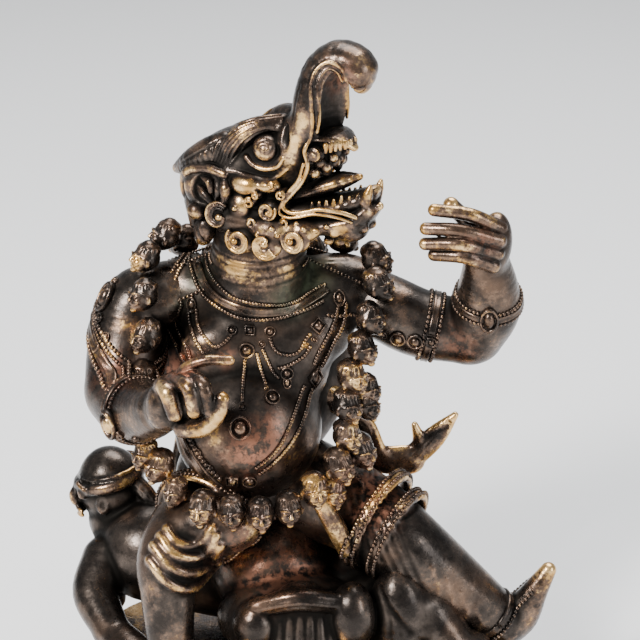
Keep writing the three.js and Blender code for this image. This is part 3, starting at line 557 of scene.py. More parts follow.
    # The ear: a shell with a thick rolled rim, a drop at its foot and folds inside.
    clay.add(egg((-6.0, 9.4, 0.6), (6.8, 3.2, 6.4), (0, 30, 0)), 0.6)
    clay.cut(egg((-4.8, 13.4, 1.0), (4.6, 3.4, 4.6), (0, 30, 0)), 0.3)
    side_ridge(clay, [(1.0, 5.8), (-3.4, 6.6), (-8.8, 5.8), (-12.6, 2.8), (-13.4, -1.4), (-11.4, -4.4), (-8.6, -5.8)], 1.3, 0.1, 0.2, 1.9)
    clay.add(ball((-8.0, 11.4, -5.4), 2.6), 0.4)
    for stops in (
        [(0.6, 11.4, 4.6, 0.9), (1.6, 12.4, 2.2, 1.7), (1.2, 12.2, -0.8, 1.2)],
        [(-6.4, 10.8, 3.8, 0.6), (-3.8, 11.6, 3.0, 1.2), (-3.2, 11.8, 0.6, 0.8)],
        [(-8.0, 10.4, 1.2, 0.7), (-5.6, 11.2, -0.6, 1.4), (-3.4, 11.6, -2.4, 0.9)],
        [(-2.0, 11.4, 4.0, 0.5), (-1.0, 11.8, 1.4, 1.0), (-1.6, 11.8, -1.4, 0.6)],
        [(-9.6, 10.4, -0.4, 0.5), (-7.8, 11.0, -2.4, 0.8), (-5.6, 11.2, -3.6, 0.5)],
    ):
        clay.add(limb(stops, step=1), 0.12)
    # The lips: a double ridge from inside the trunk's curl down around the corner of the mouth.
    for line, radius in ((LIP, 0.6), (INNER_LIP, 0.42)):
        line = smooth_line(line, 0.8)
        found = head_side(clay, line[:, 0], line[:, 2])[:, 1]
        line[:, 1] = np.where((line[:, 2] > 16) & (found > 5), found, line[:, 1])
        line[1:-1, 1] = (line[:-2, 1] + line[1:-1, 1] + line[2:, 1]) / 3
        clay.add(limb(np.column_stack([line, np.full(len(line), radius)]), step=1), 0.12)
    clay.add(limb([(u - 1.0, y + 0.5, w + (-1.3 if w < 1 else 0.2), 0.4) for u, y, w in LIP[9:]], step=1), 0.12)
    # Creases over the trunk's side and tip.
    for places in ([(16.8, 22), (17.6, 27), (18.8, 32), (21.6, 36)], [(37.2, 33.4), (39.0, 33.0)], [(34.4, 30.6), (37.2, 30.8)], [(19.6, 22), (20.4, 27), (21.4, 31)]):
        clay.line(side_line(clay, places), 0.35, -0.35)
    # Curls along the jaw and cheek.
    curl(clay, (-0.6, 13.2, -5.4), 4.3, 0.9, 0.85, 1, 3)
    curl(clay, (6.0, 14.0, -11.0), 4.0, 2.4, 1.1, 1, 3)
    curl(clay, (13.4, 13.6, -11.4), 4.2, -0.6, 0.75, -1, 4)
    curl(clay, (21.2, 11.8, -9.4), 3.8, 2.6, 1.1, 1, 3)
    curl(clay, (13.6, 12.0, -2.4), 2.8, 0.4, 1.2, -1, 2)
    for centre, radius, start, way in (
        ((17.0, 11.0, 2.2), 1.5, 1.0, -1), ((14.6, 11.4, 4.6), 1.1, 1.0, 1), ((18.0, 10.8, -5.2), 1.5, 2.0, 1),
        ((9.2, 12.4, -6.2), 1.6, 3.0, -1), ((8.6, 12.4, -0.6), 1.6, 1.4, 1), ((10.4, 12.2, 1.4), 1.2, 1.4, 1),
    ):
        curl(clay, centre, radius, start, 1.1, way, 1)
    for u, w in ((4.6, -2.6), (11.4, -8.6), (17.0, -8.2), (23.6, -6.0), (26.2, -6.6), (21.4, -5.0), (28.6, -5.6), (15.4, -6.6)):
        clay.add(ball(head_side(clay, u, w)[0], 0.7), 0.25)
    # Locks at the nape.
    clay.add(egg((-7.4, 8.4, -11.4), (2.9, 3, 4.6), (0, 12, 0)), 0.3)
    clay.line(side_line(clay, [(-7.6, -7), (-8.0, -10.6), (-6.4, -14.4)]), 0.4, -0.4)
    for k in range(5):
        angle = math.radians(38 + 26 * k)
        x, y = -6 - 8.6 * math.sin(angle), max(9.6 * math.cos(angle), 0)
        clay.add(limb([(x * 0.9, y, 2, 2.0), (x, y, -4, 2.2), (x * 0.98, y, -10.6, 1.3)]), 0.25)
    return clay.mirrored()


def head_to_figure(points):
    c, s = math.cos(HEAD_YAW), math.sin(HEAD_YAW)
    return np.asarray(points) @ np.array([[c, -s, 0], [s, c, 0], [0, 0, 1]]).T + HEAD_CENTRE


# Places seen from the camera, in pixels from the picture's top left corner.

def camera_frame():
    """The camera's place, and its forward, right and up directions, in the figures' frame."""
    forward = np.array([0, math.cos(CAMERA_ELEVATION), -math.sin(CAMERA_ELEVATION)])
    right = np.array([1.0, 0, 0])
    return CAMERA_TARGET - CAMERA_DISTANCE * forward, forward, right, np.cross(right, forward)


def lines_of_sight(places):
    eye, forward, right, up = camera_frame()
    offsets = (np.asarray(places, float) - IMAGE_SIDE / 2) * MM_PER_PIXEL / CAMERA_DISTANCE
    return eye, forward + offsets[:, :1] * right - offsets[:, 1:] * up


def seen_on(clay, places):
    """Where the lines of sight through some places meet the clay."""
    eye, directions = lines_of_sight(places)
    hits, met = clay.trace(eye + 470 * directions, directions, 260)
    return hits[met]


def drape(clay, places, spacing):
    """Evenly spaced points, and normals, where a line in the picture falls on the clay."""
    flat = smooth_line([(x, y, 0) for x, y in places], 1.5)[:, :2]
    hits = seen_on(clay, flat)
    for _ in range(2):
        hits[1:-1] = (hits[:-2] + 2 * hits[1:-1] + hits[2:]) / 4
    return spaced(clay, hits, spacing)


def spaced(clay, line, spacing):
    gone = np.concatenate([[0], np.cumsum(np.linalg.norm(np.diff(line, axis=0), axis=1))])
    marks = np.arange(0, gone[-1], spacing)
    points = np.stack([np.interp(marks, gone, line[:, k]) for k in range(3)], axis=1)
    return points, clay.normals(points)


# Shells: many small closed forms in one mesh.

def sphere_shell():
    mesh = bmesh.new()
    bmesh.ops.create_icosphere(mesh, subdivisions=2, radius=1)
    points = np.array([v.co[:] for v in mesh.verts])
    faces = np.array([[v.index for v in f.verts] for f in mesh.faces])
    mesh.free()
    return points, faces


class Shells:
    def __init__(self):
        self.points, self.faces, self.reliefs, self.count = [], [], [], 0

    def add(self, points, faces, reliefs):
        self.points.append(points)
        self.faces.append(faces + self.count)
        self.reliefs.append(reliefs)
        self.count += len(points)

    def bead(self, centre, normal, radius, lift=0.35):
        """A round bead that stands on a surface."""
        points, faces = UNIT_BALL
        # Relief is lowest at the bead's foot, where the finish paints shade, and highest on its top.
        reliefs = 0.15 + 0.75 * (points @ normal)
        self.add(centre + normal * radius * lift + radius * points, faces, reliefs)

    def beads(self, line, radius, lift=0.35):
        for centre, normal in zip(*line):
            self.bead(centre, normal, radius, lift)

    def boss(self, centre, normal, profile, sides=20, stretch=1.0, along=(0, 0, 1)):
        """A form turned about the surface's normal, from (radius, height) pairs inwards. With
        four sides it is a square, and stretch makes it longer in the direction along."""
        along = np.array(along, float) - normal * (np.array(along, float) @ normal)
        along /= np.linalg.norm(along)
        across = np.cross(along, normal)
        angles = 2 * math.pi * (np.arange(sides)) / sides
        ring = np.outer(np.cos(angles) * stretch, along) + np.outer(np.sin(angles), across)
        rows = [centre + r * ring + h * normal for r, h in profile]
        tops = np.array([h for _, h in profile])
        points = np.vstack(rows + [centre + profile[0][1] * normal, centre + profile[-1][1] * normal])
        faces = []
        for k in range(len(profile) - 1):
            for i in range(sides):
                j = (i + 1) % sides
                a, b, c, d = k * sides + i, k * sides + j, (k + 1) * sides + i, (k + 1) * sides + j
                faces += [(a, c, b), (b, c, d)]
        low, high = len(points) - 2, len(points) - 1
        last = (len(profile) - 1) * sides
        for i in range(sides):
            j = (i + 1) % sides
            faces += [(low, i, j), (high, last + j, last + i)]
        level = np.repeat((tops - tops.min()) / (tops.max() - tops.min()), sides)
        level = np.concatenate([level, [0, 1]])
        self.add(points, np.array(faces), level * 1.5 - 0.6)

    def jewel(self, centre, normal, radius, **shape):
        """A rounded stone inside a raised ring."""
        r = radius
        self.boss(centre, normal, [
            (r, -0.6), (r, 0.35 * r), (0.93 * r, 0.46 * r), (0.82 * r, 0.46 * r), (0.74 * r, 0.3 * r),
            (0.7 * r, 0.1 * r), (0.62 * r, 0.12 * r), (0.56 * r, 0.38 * r), (0.4 * r, 0.56 * r),
            (0.2 * r, 0.66 * r), (0.05 * r, 0.68 * r)], **shape)

    def band(self, line, half_width, thickness, grooves=0):
        """A flat band with rounded edges on the surface."""
        points, normals = line
        along = np.gradient(points, axis=0)
        along /= np.linalg.norm(along, axis=1, keepdims=True)
        side = np.cross(normals, along)
        section = [(-1, -0.8), (-1, 0.5), (-0.8, 0.95), (-0.4, 0.8), (0, 0.75), (0.4, 0.8), (0.8, 0.95), (1, 0.5), (1, -0.8)]
        if grooves:
            section = [(-1, -0.8), (-0.96, 0.6), (-0.6, 1), (-0.3, 0.5), (0, 1), (0.3, 0.5), (0.6, 1), (0.96, 0.6), (1, -0.8)]
        rows = [points + side * half_width * x + normals * thickness * h for x, h in section]
        count, around = len(points), len(section)
        flat = np.stack(rows, axis=1).reshape(-1, 3)
        faces = []
        for i in range(count - 1):
            for k in range(around):
                a, b = i * around + k, i * around + (k + 1) % around
                faces += [(a, b, a + around), (b, b + around, a + around)]
        for k in range(1, around - 1):
            faces += [(0, k + 1, k), ((count - 1) * around, (count - 1) * around + k, (count - 1) * around + k + 1)]
        self.add(flat, np.array(faces), np.tile([h for _, h in section], count) * 0.9 - 0.2)

    def piece(self, name):
        points, faces = np.vstack(self.points), np.vstack(self.faces)
        piece = mesh_object(name, figure_to_world(points), faces)
        paint(piece, "relief", np.concatenate(self.reliefs))
        paint(piece, "hollow", np.full(len(points), 0.1))
        paint_patches(piece, points)
        return piece


# The torso, the neck and what is carved on them.

def make_torso_clay():
    clay = Clay((-42, -30, 58), (24, 22, 150), BODY_VOXEL)
    clay.add(egg((-10, 7, 96), (22, 12, 36)), 3)
    clay.add(egg((-9.5, 0, 108), (19, 14.5, 17)), 3)
    clay.add(egg((-9, 3, 119), (24, 11, 10)), 3)
    clay.add(egg((-11.5, -6, 84), (20, 21, 20.6)), 3)
    clay.add(egg((-10, 9, 98), (27, 8, 34)), 3)
    clay.add(egg((12.5, 3.6, 119), (15, 9, 10.6)), 3)
    clay.add(egg((-27, 5, 119), (11, 8, 9.6)), 3)
    clay.add(egg((4, -3, 111), (13, 10, 11)), 3)
    clay.add(egg((-0.5, -4, 100), (11, 11, 11)), 3)
    clay.add(limb([(-9, 0, 120, 14), (-8.5, -1, 128, 13.2), (-8, -0.6, 138, 11.8), (-8.6, 1, 147, 10)]), 2)
    clay.add(egg((-19, -10.6, 107), (10, 5, 8)), 3)
    clay.add(egg((-2, -10.6, 107), (12, 4.6, 8)), 3)
    # Folds of the neck.
    for height, depth in ((131.0, 0.3), (133.4, 0.22), (135.2, 0.3), (138.2, 0.25), (128.6, 0.25)):
        angles = np.linspace(-0.4, math.pi + 0.4, 60)
        outward = np.stack([np.cos(angles), -np.sin(angles), np.zeros(60)], axis=1)
        starts = np.array([-8.6, -0.8, height]) + 24 * outward - np.array([0, 0, 2.2]) * np.sin(angles)[:, None]
        hits, met = clay.trace(starts, -outward, 24)
        clay.line(hits[met], 0.32, -depth)
    return clay


# Necklaces, as they are seen in the picture.

COLLAR_BEADS = [
    [(204, 253), (210, 272), (220, 286), (232, 296.5), (248, 302), (266, 304.5), (284, 304.5), (299, 299.5), (311, 292), (325, 284)],
    [(189, 252), (190, 263), (193, 275), (200, 290), (209, 300), (223, 309.5), (238, 317), (257, 319.5), (277, 318), (294, 314), (310, 308.5), (324, 301)],
]
COLLAR_BAND = [(194, 249), (198, 268), (206, 284), (218, 297.5), (234, 306), (255, 311.5), (280, 311), (300, 306), (315, 297.5), (328, 288)]
STRANDS = [
    [(189, 249), (176, 266), (169, 280), (166, 300), (168, 313), (165, 323), (171, 334), (178, 346), (183, 358)],
    [(192, 251), (180, 270), (174.5, 284), (176, 298), (182, 303), (176, 321), (181, 335), (187, 347), (191, 359)],
    [(189, 310), (191, 325), (196, 341), (204, 354)],
    [(197, 310), (199, 327), (206, 339), (215, 347), (225, 342), (231, 335)],
    [(245, 360), (243.6, 376), (242.6, 391), (242, 402)],
    [(257, 354), (262, 373), (266, 386)],
    [(270, 339), (273, 347), (279, 353), (291, 355), (300, 350.5), (306, 339), (311, 333)],
    [(263, 350), (268, 361), (274, 373.5), (280.5, 379)],
    [(279, 368), (287, 366), (295, 362), (305, 355), (311, 345)],
    [(338, 306), (333, 325), (325, 341), (318, 354), (314, 364)],
    [(346, 304), (342.5, 325), (333.6, 342), (327, 356), (321, 367)],
    [(304, 386), (301, 393), (292, 419), (280.5, 444), (268, 458.5), (256, 468)],
    [(312, 389), (309, 396), (304.6, 415), (294, 438), (282, 454), (269.5, 466), (259, 474)],
]
BELT = [(180, 432), (187, 447), (197, 463), (208, 477), (221, 489)]
BELT_EDGE = [(188, 431), (194, 445), (203, 459), (213, 471), (224, 481)]
# Jewels: x, y, radius in millimetres, sides, stretch, and whether they lean.
JEWELS = [
    (192, 304.5, 1.5, 16, 1.6, 1), (232, 330, 1.4, 18, 1, 0), (250, 330, 1.9, 4, 1, 1), (270, 331.6, 1.5, 18, 1, 0),
    (246.6, 350, 2.2, 22, 1, 0), (262, 344, 1.0, 14, 1, 0), (242.6, 407, 1.0, 14, 1, 0), (240.5, 428, 3.0, 24, 1.12, 0),
    (266, 388, 0.7, 12, 1, 0), (272, 397.6, 2.2, 22, 1, 0), (318, 326, 2.5, 4, 1, 0), (314, 339.5, 0.9, 12, 1, 0),
    (287, 373, 1.9, 18, 1, 0), (287, 382.5, 1.2, 14, 1.5, 0), (315, 377, 2.4, 4, 1.5, 0), (339, 298, 1.7, 14, 1.4, 0),
    (232.4, 480, 2.4, 4, 1, 1), (249.6, 480.5, 2.1, 18, 1, 0), (231, 495.6, 2.1, 18, 0.7, 0), (306, 345, 0.8, 12, 1, 0),
]


def dress_torso(shells, clay):
    shells.beads(drape(clay, COLLAR_BEADS[0], 0.85), 0.56)
    shells.beads(drape(clay, COLLAR_BEADS[1], 0.95), 0.66)
    shells.band(drape(clay, COLLAR_BAND, 0.8), 1.25, 1.0)
    for places in STRANDS:
        shells.beads(drape(clay, places, 0.86), 0.62)
    shells.band(drape(clay, BELT, 0.8), 2.0, 0.8)
    line = drape(clay, BELT_EDGE, 1.3)
    shells.beads(line, 0.85)
    for centre, normal in list(zip(*line))[1::4]:
        shells.jewel(centre, normal, 1.25, sides=14)
    for x, y, radius, sides, stretch, lean in JEWELS:
        points = seen_on(clay, [(x, y)])
        if len(points):
            normal = clay.normals(points)[0]
            along = (1, 0, 0) if stretch > 1.5 and not lean else (0.7, 0, 0.7) if sides == 4 and lean else (0, 0, 1)
            shells.jewel(points[0], normal, radius, sides=sides, stretch=stretch, along=along)
    # Around the back of the neck the collar goes on, plainer.
    for height, drop, radius in ((134, 0.96, 0.6), (136.5, 0.55, 0.5)):
        angles = np.linspace(math.radians(62), math.radians(298), 90)
        share = (1 + np.cos(angles)) / 2
        slope = 0.35 + (drop - 0.35) * share
        outward = np.stack([np.sin(angles), -np.cos(angles), -slope], axis=1)
        apex = np.array([-8.8, 0, height])
        hits, met = clay.trace(apex + 45 * outward, -outward, 60)
        shells.beads(spaced(clay, hits[met], 2.1 * radius), radius)


# Arms and hands.

def add_fingers(clay, fingers, blend=0.5):
    for stops, radius in fingers:
        rows = [(*p, radius * (1 - 0.08 * i)) for i, p in enumerate(stops)]
        clay.add(limb(rows, step=1), blend)


def make_right_arm_clay():
    clay = Clay((-60, -53, 78), (-8, 18, 136), BODY_VOXEL)
    clay.add(limb([(-33, 4, 118.6, 8.6), (-41.6, 3, 115.6, 9.4), (-44.3, 0, 104.8, 10.5), (-45.8, -6, 95, 9.8)]), 1)
    clay.add(limb([(-45.6, -8, 93.6, 9.4), (-42, -15, 92.6, 9.2), (-37.6, -23, 95, 8), (-33.6, -31, 98.8, 6.6)]), 1.5)
    clay.add(egg((-30.4, -36.5, 103), (6.2, 6.4, 8), (0, 20, 0)), 1.5)
    add_fingers(clay, [
        ([(-27, -41, 97.6), (-21.6, -45, 99.3), (-17.9, -46, 103.3), (-16.6, -46, 107.6)], 2.5),
        ([(-29, -38, 109.5), (-25, -45, 110.4), (-23.6, -46, 104.4)], 2.4),
        ([(-26, -38, 111), (-21.4, -45.4, 111), (-19.9, -45.6, 104.4)], 2.2),
        ([(-32, -38, 108), (-30.4, -43, 108), (-28.8, -43.6, 102.6)], 2.5),
        ([(-29, -37, 108.6), (-25.6, -39, 113.4), (-20.6, -40, 115.7), (-14.8, -40, 115.7)], 1.7),
    ])
    return clay


def make_left_arm_clay():
    clay = Clay((8, -28, 92), (66, 14, 157), BODY_VOXEL)
    clay.add(limb([(20, 5, 117, 8.6), (26.6, 2, 114.4, 9.2), (35.1, 1, 110.7, 9.3), (47, 0, 108.6, 8.6)]), 1)
    clay.add(limb([(49.2, -1, 109, 8.8), (52.4, -4, 116.9, 9.2), (52.6, -7, 123.6, 8), (51.9, -10, 131, 6.2)]), 1.5)
    clay.add(egg((53.4, -13.5, 138), (4.6, 5.4, 8.6), (0, 5, 0)), 1.5)
    knuckles = [(54.5, -16, 143.1), (54.2, -18, 140.3), (53.8, -18, 137), (52.8, -18, 133.6)]
    middles = [(46.5, -19, 147.6), (43.9, -21, 144), (43.9, -22, 140.6), (45.3, -21, 136.9)]
    tips = [(37.3, -18, 148.6), (35.2, -19, 143.9), (35.1, -19, 139.8), (37.5, -18, 136.5)]
    add_fingers(clay, [([(51, -10, 136), (47, -9, 142), (42, -11.5, 148)], 2.5)])
    add_fingers(clay, [([a, b, c], 2.0) for a, b, c in zip(knuckles, middles, tips)], 0.2)
    return clay


def ring_on(clay, centre, axis, reach=26.0, spacing=1.0, part=(0, 360)):
    """A line around a limb, where a plane through it meets the clay."""
    centre, axis = np.array(centre, float), np.array(axis, float)
    axis /= np.linalg.norm(axis)
    first = np.cross(axis, (0, 0, 1))
    if np.linalg.norm(first) < 0.1:
        first = np.cross(axis, (0, 1, 0))
    first /= np.linalg.norm(first)
    second = np.cross(axis, first)
    angles = np.radians(np.linspace(*part, 120))
    outward = np.outer(np.cos(angles), first) + np.outer(np.sin(angles), second)
    hits, met = clay.trace(centre + reach * outward, -outward, reach)
    return spaced(clay, hits[met], spacing)


def dress_arms(shells, right, left):
    axis = np.array([0.46, -0.34, 0.82])
    for shift, radius in ((2.6, 0.7), (1.2, 0.6), (-3.4, 0.75)):
        shells.beads(ring_on(right, np.array([-43.6, 1.0, 107.0]) + shift * axis, axis, 20, 1.7 * radius), radius)
    shells.band(ring_on(right, np.array([-43.6, 1.0, 107.0]) - 1.0 * axis, axis, 20, 1.0), 1.5, 0.9)
    for shift in (-2.0, 1.6):
        centre = np.array([-40.6, -17.5, 93.3]) + shift * np.array([-0.48, 0.86, -0.1])
        shells.beads(ring_on(right, centre, (-0.48, 0.86, -0.16), 20, 1.15), 0.58)
    shells.band(ring_on(right, (-40.9, -16.9, 93.2), (-0.48, 0.86, -0.16), 20, 1.0), 1.2, 0.8)
    for shift, radius in ((-1.8, 0.6), (1.8, 0.6)):
        shells.beads(ring_on(left, (38.0 + shift, 0.8, 110.2), (0.96, -0.05, -0.2), 20, 2 * radius), radius)
    shells.band(ring_on(left, (38.0, 0.8, 110.2), (0.96, -0.05, -0.2), 20, 1.0), 1.0, 0.8)
    for shift in (-1.6, 1.6):
        centre = np.array([52.5, -5.6, 120.4]) + shift * np.array([0, -0.4, 0.92])
        shells.beads(ring_on(left, centre, (0.05, -0.4, 0.92), 20, 1.15), 0.58)
    shells.band(ring_on(left, (52.5, -5.6, 120.4), (0.05, -0.4, 0.92), 20, 1.0), 1.0, 0.8)
    for clay, places in (
        (right, [(106, 297, 2.6, 16, 1.7), (115, 281, 1.3, 14, 1), (100, 318, 1.4, 14, 1), (106, 337, 1.4, 14, 1), (110, 424, 3.0, 14, 1.5), (119, 434, 1.6, 14, 1), (136, 439, 1.3, 14, 1)]),
        (left, [(398, 338, 2.2, 20, 1), (415, 341, 2.2, 20, 1), (431, 342, 1.6, 18, 1), (489, 320, 2.6, 14, 1.5), (383, 334, 1.3, 14, 1)]),
    ):
        for x, y, radius, sides, stretch in places:
            points = seen_on(clay, [(x, y)])
            if len(points):
                shells.jewel(points[0], clay.normals(points)[0], radius, sides=sides, stretch=stretch)


# The garland of severed heads.

GARLAND = [
    (166, 237), (146, 259), (144, 297), (147, 338), (141, 378), (138, 416), (146, 455), (160, 467), (176, 492),
    (203, 509), (233, 513), (261, 515), (288, 509), (314, 491), (339, 467), (347, 437), (347, 407), (352, 378),
    (362, 350), (370, 320), (378, 286), (376, 260),
]
GARLAND_BEHIND = [(366, 406), (367, 390), (360, 452), (332, 492)]
GARLAND_BACK = [(14, 8, 132), (6, 14, 127), (-3, 17, 123), (-12, 18, 121), (-21, 16.5, 124), (-29, 12, 130)]
GARLAND_LINE = [
    (-27, 9, 134), (-36, 2, 131), (-38.5, -7, 124), (-37, -12, 112), (-36.6, -10, 97), (-36.6, -14, 82),
    (-32.5, -22, 73.5), (-21, -29, 70.8), (-7.2, -32, 71), (6, -28, 73), (13.6, -20, 84), (14.6, -16, 98),
    (19.6, -11.5, 115), (21.6, -6, 127), (14, 7, 130), (2, 14, 124), (-12, 16, 121),
]


def make_small_head(kind):
    """A severed head that looks along +X, with a moustache, bulging eyes and combed-up hair."""
    clay = Clay((-5.2, -5, -5.6), (5.6, 5, 6.6), 0.24)
    clay.add(egg((0, 0, 0.4), (3.6, 3.3, 4.0)), 0.3)
    clay.add(egg((0.9, 0, -1.6), (2.8, 2.5, 2.8)), 0.6)
    clay.add(egg((-0.5, 0, 3.2), (3.1, 3.0, 2.6)), 0.4)
    clay.add(egg((-0.4, 0, 5.0), (1.7, 1.7, 1.3)), 0.2)
    for side in (-1, 1):
        clay.cut(ball((3.5, 1.25 * side, 0.5), 1.0), 0.2)
        clay.add(ball((2.75, 1.2 * side, 0.45), 0.85), 0.1)
        clay.add(limb([(3.3, 0.3 * side, 1.1, 0.35), (3.25, 1.3 * side, 1.75, 0.4), (2.3, 2.4 * side, 1.2, 0.3)], step=0.6), 0.1)
        clay.add(limb([(3.5, 0.2 * side, -1.5, 0.4), (3.2, 1.2 * side, -1.9, 0.42), (2.6, 2.1 * side, -1.3, 0.25)], step=0.6), 0.1)
        clay.add(egg((0.4, 3.1 * side, -0.6), (0.7, 0.6, 1.5)), 0.2)
        clay.add(ball((2.6, 1.5 * side, -0.7), 0.9), 0.3)
    clay.add(limb([(3.2, 0, 1.2, 0.35), (3.9, 0, -0.5, 0.62)], step=0.6), 0.15)
    clay.add(egg((3.3, 0, -2.5), (0.6, 0.95, 0.38)), 0.1)
    clay.add(ball((2.8, 0, -3.6), 0.9), 0.3)
    clay.line(smooth_line([(1.8, -2.9, 1.4), (3.1, -1.4, 2.3), (3.4, 0, 2.5), (3.1, 1.4, 2.3), (1.8, 2.9, 1.4)], 0.5), 0.35, -0.4)
    strands = 9 if kind else 11
    for k in range(strands):
        angle = math.radians(-100 + 200 * k / (strands - 1))
        lean = 0.25 if kind else -0.15
        places = []
        for share in np.linspace(0, 1, 7):
            height = 1.9 + 3.0 * share
            spread = 3.55 * math.cos(share * 1.15)
            turn = angle + lean * share
            places.append((-0.4 + spread * math.cos(turn), spread * math.sin(turn), height))
        clay.line(np.array(places), 0.26, -0.42)
    points, triangles, quads = clay.skin()
    piece = mesh_object("small_head", points, triangles, quads)
    thin_out(piece, 4200)
    vertices = vertices_of(piece).astype(float)
    mesh = piece.data
    mesh.calc_loop_triangles()
    faces = np.empty(3 * len(mesh.loop_triangles), np.int32)
    mesh.loop_triangles.foreach_get("vertices", faces)
    reliefs = np.clip(relief_of(clay, vertices, 0.9) * 2.2, -1.5, 1.5)
    bpy.data.objects.remove(piece)
    bpy.data.meshes.remove(mesh)
    return vertices, faces.reshape(-1, 3), reliefs


def place_small_heads():
    shells = Shells()
    kinds = [make_small_head(0), make_small_head(1)]
    line = closed_line(GARLAND_LINE, 1.0)
    middle = np.array([-10, 2, 100.0])
    centres = []
    for x, y in GARLAND + GARLAND_BEHIND:
        eye, direction = lines_of_sight([(x, y)])
        direction = direction[0] / np.linalg.norm(direction[0])
        reach = (line - eye) @ direction
        off = np.linalg.norm(line - eye - reach[:, None] * direction, axis=1)
        off[reach > 610 + 12] += 20
        best = np.argmin(off)
        centres.append(eye + direction * (reach[best] + (3 if (x, y) in GARLAND_BEHIND else -1)))
    centres += [np.array(p, float) for p in GARLAND_BACK]
    rng = np.random.default_rng(7)
    for index, centre in enumerate(centres):
        points, faces, reliefs = kinds[index % 2]
        outward = centre - middle
        outward[2] *= 0.15
        outward += np.array([0, -6.0, 0]) if centre[1] < 8 else 0
        outward /= np.linalg.norm(outward)
        up = np.array([0.12 * rng.normal(), 0.12 * rng.normal(), 1.0])
        up -= outward * (up @ outward)
        up /= np.linalg.norm(up)
        side = np.cross(up, outward)
        size = 1 + 0.05 * rng.normal()
        matrix = np.stack([1.12 * outward, 1.14 * side, 0.88 * up], axis=1) * size
        shells.add(points @ matrix.T + centre, faces, reliefs)
    return shells


# Legs, skirt, sash and tassel.

RIGHT_HEM = ((-24, -17, 61.5), (-11, -20, -3), 12.4)
LEFT_HEM = ((24, -13, 59), (20, -11, -8), 13.4)


def make_legs_clay():
    clay = Clay((-50, -52, FLOOR_Z - 2), (76, 26, 96), LEGS_VOXEL)
    clay.add(egg((-12, 2, 66), (20, 17, 16)), 2)
    clay.add(limb([(-17, -4, 62, 12.5), (-27, -20, 60, 10.5), (-32, -28, 54, 9), (-32.6, -31, 46, 7.4), (-32.2, -33, 34.2, 6.4), (-32, -33, 28, 5.4)]), 2)
    clay.add(limb([(-31.6, -28, 24.2, 3.9, 5), (-32.6, -37, 24, 3.7, 5.4), (-34, -46, 23, 2.6, 5)], wide=(1, 0, 0)), 2)
    clay.add(limb([(4, -2, 64, 13.5), (20, -12, 60, 12), (31, -18, 53.6, 10.6), (43.6, -17, 42, 9.2), (52, -16, 34.6, 7.8), (58.6, -14.6, 28.4, 6.6)]), 2)
    clay.add(limb([(60.5, -12, 25.4, 4.8), (63.4, -14, 30.6, 5.2), (67, -15, 38, 3.6), (70.6, -15, 44.6, 2.2)]), 1.5)
    for centre, axis, radius in (RIGHT_HEM, LEFT_HEM, ((29, -15.5, 56), (20, -11, -8), 12)):
        clay.add(hoop(centre, axis, radius, 1.3, 2.0), 0.8)
    clay.add(egg((-20, -25, 63), (12.6, 8.6, 8.6)), 1)
    for k in range(7):
        angle = math.radians(20 + 140 * k / 6)
        x, y = -12 - 19 * math.cos(angle), 2 + 17 * math.sin(angle)
        clay.add(limb([(x, y, 74, 2.6), (x * 1.06, y + 2.2, 62, 3), (x * 1.1, y + 2.6, 52.5, 2.4)]), 0.6)
    for swag, radius in (
        ([(160, 536), (172, 552), (190, 558), (206, 552), (216, 536)], 1.3),
        ([(154, 546), (170, 566), (190, 573), (208, 565), (220, 546)], 1.5),
        ([(150, 560), (168, 582), (188, 589), (206, 580), (217, 562)], 1.4),
        ([(166, 528), (176, 541), (190, 545), (203, 540), (212, 528)], 1.0),
    ):
        line = smooth_line([(x, y, 0) for x, y in swag], 2.0)[:, :2]
        hits = seen_on(clay, line)
        clay.add(limb(np.column_stack([hits, np.full(len(hits), radius)]), step=1.5), 1.0)
    # Pleats of the skirt over the left thigh, and the engraved trousers below.
    for k in range(5):
        x = 17 + 3.6 * k
        clay.line(seen_from_front(clay, [(x - 4, 74 - 2 * k), (x, 66 - 2.4 * k), (x + 4, 56 - 2.8 * k)]), 0.6, -0.35)
    for k in range(4):
        clay.line(seen_from_front(clay, [(38 + 4 * k, 52 - 4.4 * k), (40 + 4 * k, 44 - 4.2 * k), (37 + 4 * k, 36 - 3 * k)]), 0.6, 0.3)
    # The sash end, with lengthwise folds, and its two tips.
    sash = [(2, 4, 92, 3, 4), (12, 5, 87, 2.4, 3.8), (19.7, 6, 78.8, 2, 3.6), (24, 7.4, 68.6, 1.8, 4.2), (33.2, 8, 67.4, 1.8, 4.4)]
    clay.add(limb(sash, thin=(0.2, 1, 0)), 0.5)
    tip = [(33.2, 8, 67.4, 1.8, 3), (36, 8, 72, 1.6, 2.4), (34.4, 8, 78, 1, 1)]
    clay.add(limb(tip, thin=(0.2, 1, 0)), 0.5)
    tip = [(33.2, 8, 67.4, 1.8, 3.4), (40, 8, 74.4, 1.7, 3.2), (45.6, 8, 81, 1, 1)]
    clay.add(limb(tip, thin=(0.2, 1, 0)), 0.5)
    for share in (-0.6, -0.2, 0.2, 0.6):
        places = []
        for a, b in zip(sash[1:-1], sash[2:]):
            run = np.array([b[0] - a[0], b[2] - a[2]])
            run = run / np.linalg.norm(run)
            places.append((a[0] - run[1] * share * a[4], a[2] + run[0] * share * a[4]))
        places += [(33.2 - 1.5 * share, 67.4 + 3.6 * share), (40 - 2.4 * share, 74.4 + 1.6 * share), (44, 79)]
        clay.line(seen_from_front(clay, places), 0.4, -0.5)
    # The tassel, and boot seams.
    clay.add(limb([(8, -28, 71, 2.2), (12.6, -26.5, 62, 2.8), (14.7, -25, 55.4, 2)]), 0.4)
    for shift in (-1.2, 0, 1.2):
        clay.line(seen_from_front(clay, [(9 + shift, 69), (12.6 + shift, 62), (14.7 + shift, 56)]), 0.35, -0.4)
    clay.cut_below(FLOOR_Z)
    return clay


